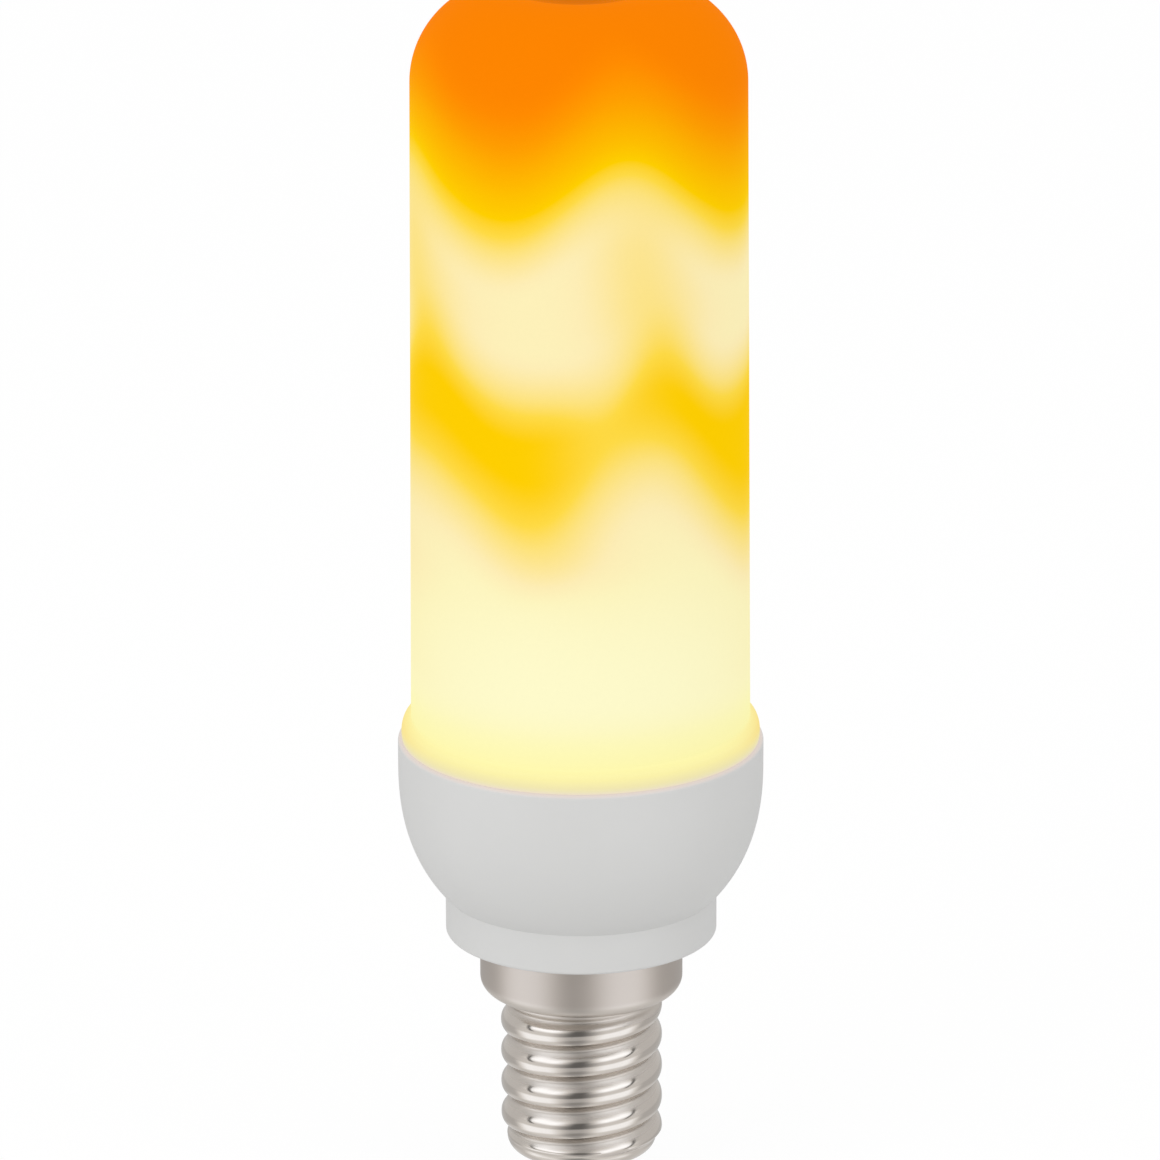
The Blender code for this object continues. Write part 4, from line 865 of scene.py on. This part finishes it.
def mirrored(graph, x, y, z):
    """What metal sees in a direction."""
    turn = graph.maths("ADD", graph.maths("DEGREES", graph.azimuth(x, y)), TURN_SHIFT)
    turn = graph.maths("ABSOLUTE", turn)
    rise = graph.maths("DEGREES", graph.maths("ARCSINE", z))
    level = graph.blend(graph.step(turn, *SIDE_TURN), view_level(graph, rise, FRONT_VIEW),
                        view_level(graph, rise, SIDE_VIEW))
    level = graph.blend(graph.step(turn, *BACK_TURN), level, view_level(graph, rise, BACK_VIEW))
    slanted = graph.maths("SUBTRACT", turn, graph.maths("SUBTRACT", rise, NOTCH_MIDDLE))
    notch = graph.maths("MULTIPLY", graph.window(slanted, *NOTCH_TURN),
                        graph.window(rise, *NOTCH_RISE))
    return graph.blend(notch, level, NOTCH_LEVEL)


def light_path(graph):
    """Whether a ray comes from the camera, straight or through glass, and whether it is a glint."""
    rays = graph.node("ShaderNodeLightPath").outputs
    seen = graph.maths("MAXIMUM", rays["Is Camera Ray"], rays["Is Transmission Ray"])
    return seen, rays["Is Glossy Ray"]


def make_world():
    """Even soft light, white for the camera."""
    world = bpy.data.worlds.new("studio")
    bpy.context.scene.world = world
    world.use_nodes = True
    graph = Graph(world.node_tree)
    direction = graph.node("ShaderNodeTexCoord").outputs["Generated"]
    parts = graph.node("ShaderNodeSeparateXYZ", {0: direction}).outputs
    seen, glossy = light_path(graph)
    studio = mirrored(graph, parts[0], parts[1], parts[2])
    cool = graph.maths("MULTIPLY", glossy, graph.step(studio, *COOL_LEVELS))
    level = graph.blend(seen, graph.blend(glossy, AMBIENT, studio), 1.0)
    background = world.node_tree.nodes["Background"]
    graph.feed(background.inputs["Color"], graph.mix(cool, PURE_WHITE, (*COOL, 1.0)))
    graph.feed(background.inputs["Strength"], level)


def make_floor():
    """Pale floor, white for the camera, that keeps the lamp's shadow; metal sees the studio."""
    form = bmesh.new()
    bmesh.ops.create_grid(form, x_segments=1, y_segments=1, size=FLOOR_SIZE / 2)
    floor = new_object("floor", form)
    floor.location.z = -FLOOR_DROP
    material = bpy.data.materials.new("floor")
    material.use_nodes = True
    tree = material.node_tree
    graph = Graph(tree)
    tree.nodes.remove(tree.nodes["Principled BSDF"])
    seen, glossy = light_path(graph)
    tone = graph.mix(seen, (FLOOR_TONE, FLOOR_TONE, FLOOR_TONE, 1.0), PURE_WHITE)
    matt = graph.node("ShaderNodeBsdfDiffuse", {0: tone}).outputs[0]
    glow = graph.node("ShaderNodeEmission", {1: 1.0}).outputs[0]
    clear = graph.node("ShaderNodeBsdfTransparent").outputs[0]
    share = graph.maths("MULTIPLY", seen, FLOOR_GLOW)
    pale = graph.node("ShaderNodeMixShader", {0: share, 1: matt, 2: glow}).outputs[0]
    both = graph.node("ShaderNodeMixShader", {0: glossy, 1: pale, 2: clear}).outputs[0]
    graph.feed(tree.nodes["Material Output"].inputs["Surface"], both)
    floor.data.materials.append(material)


def make_light(name, place, power):
    """A soft square lamp aimed at the middle of the object."""
    light = bpy.data.lights.new(name, "AREA")
    light.size = LIGHT_SIZE
    light.energy = power
    obj = bpy.data.objects.new(name, light)
    bpy.context.scene.collection.objects.link(obj)
    obj.location = place
    aim = Vector(AIM) - Vector(place)
    obj.rotation_euler = aim.to_track_quat("-Z", "Y").to_euler()
    obj.visible_glossy = False


def make_camera():
    """The photo's viewpoint."""
    camera = bpy.data.cameras.new("camera")
    camera.sensor_width = SENSOR
    camera.lens = CAMERA_LENS
    camera.clip_start, camera.clip_end = CAMERA_CLIP
    obj = bpy.data.objects.new("camera", camera)
    bpy.context.scene.collection.objects.link(obj)
    tilt = Matrix.Rotation(math.pi / 2 - CAMERA_DOWN, 4, "X")
    turn = tilt @ Matrix.Rotation(CAMERA_ROLL, 4, "Z")
    obj.matrix_world = Matrix.Translation(CAMERA_PLACE) @ turn
    bpy.context.scene.camera = obj


dress("flame_diffuser", revolve(diffuser_outline()), ["diffuser"], "frosted_flame")
make_base_housing()
make_cap_shell()
make_cap_insulator()
make_centre_contact()
dress_inner_nodes()

make_world()
make_floor()
for light_name, light_place, light_power in LIGHTS:
    make_light(light_name, light_place, light_power)
make_camera()
bpy.context.scene.view_settings.view_transform = "Standard"
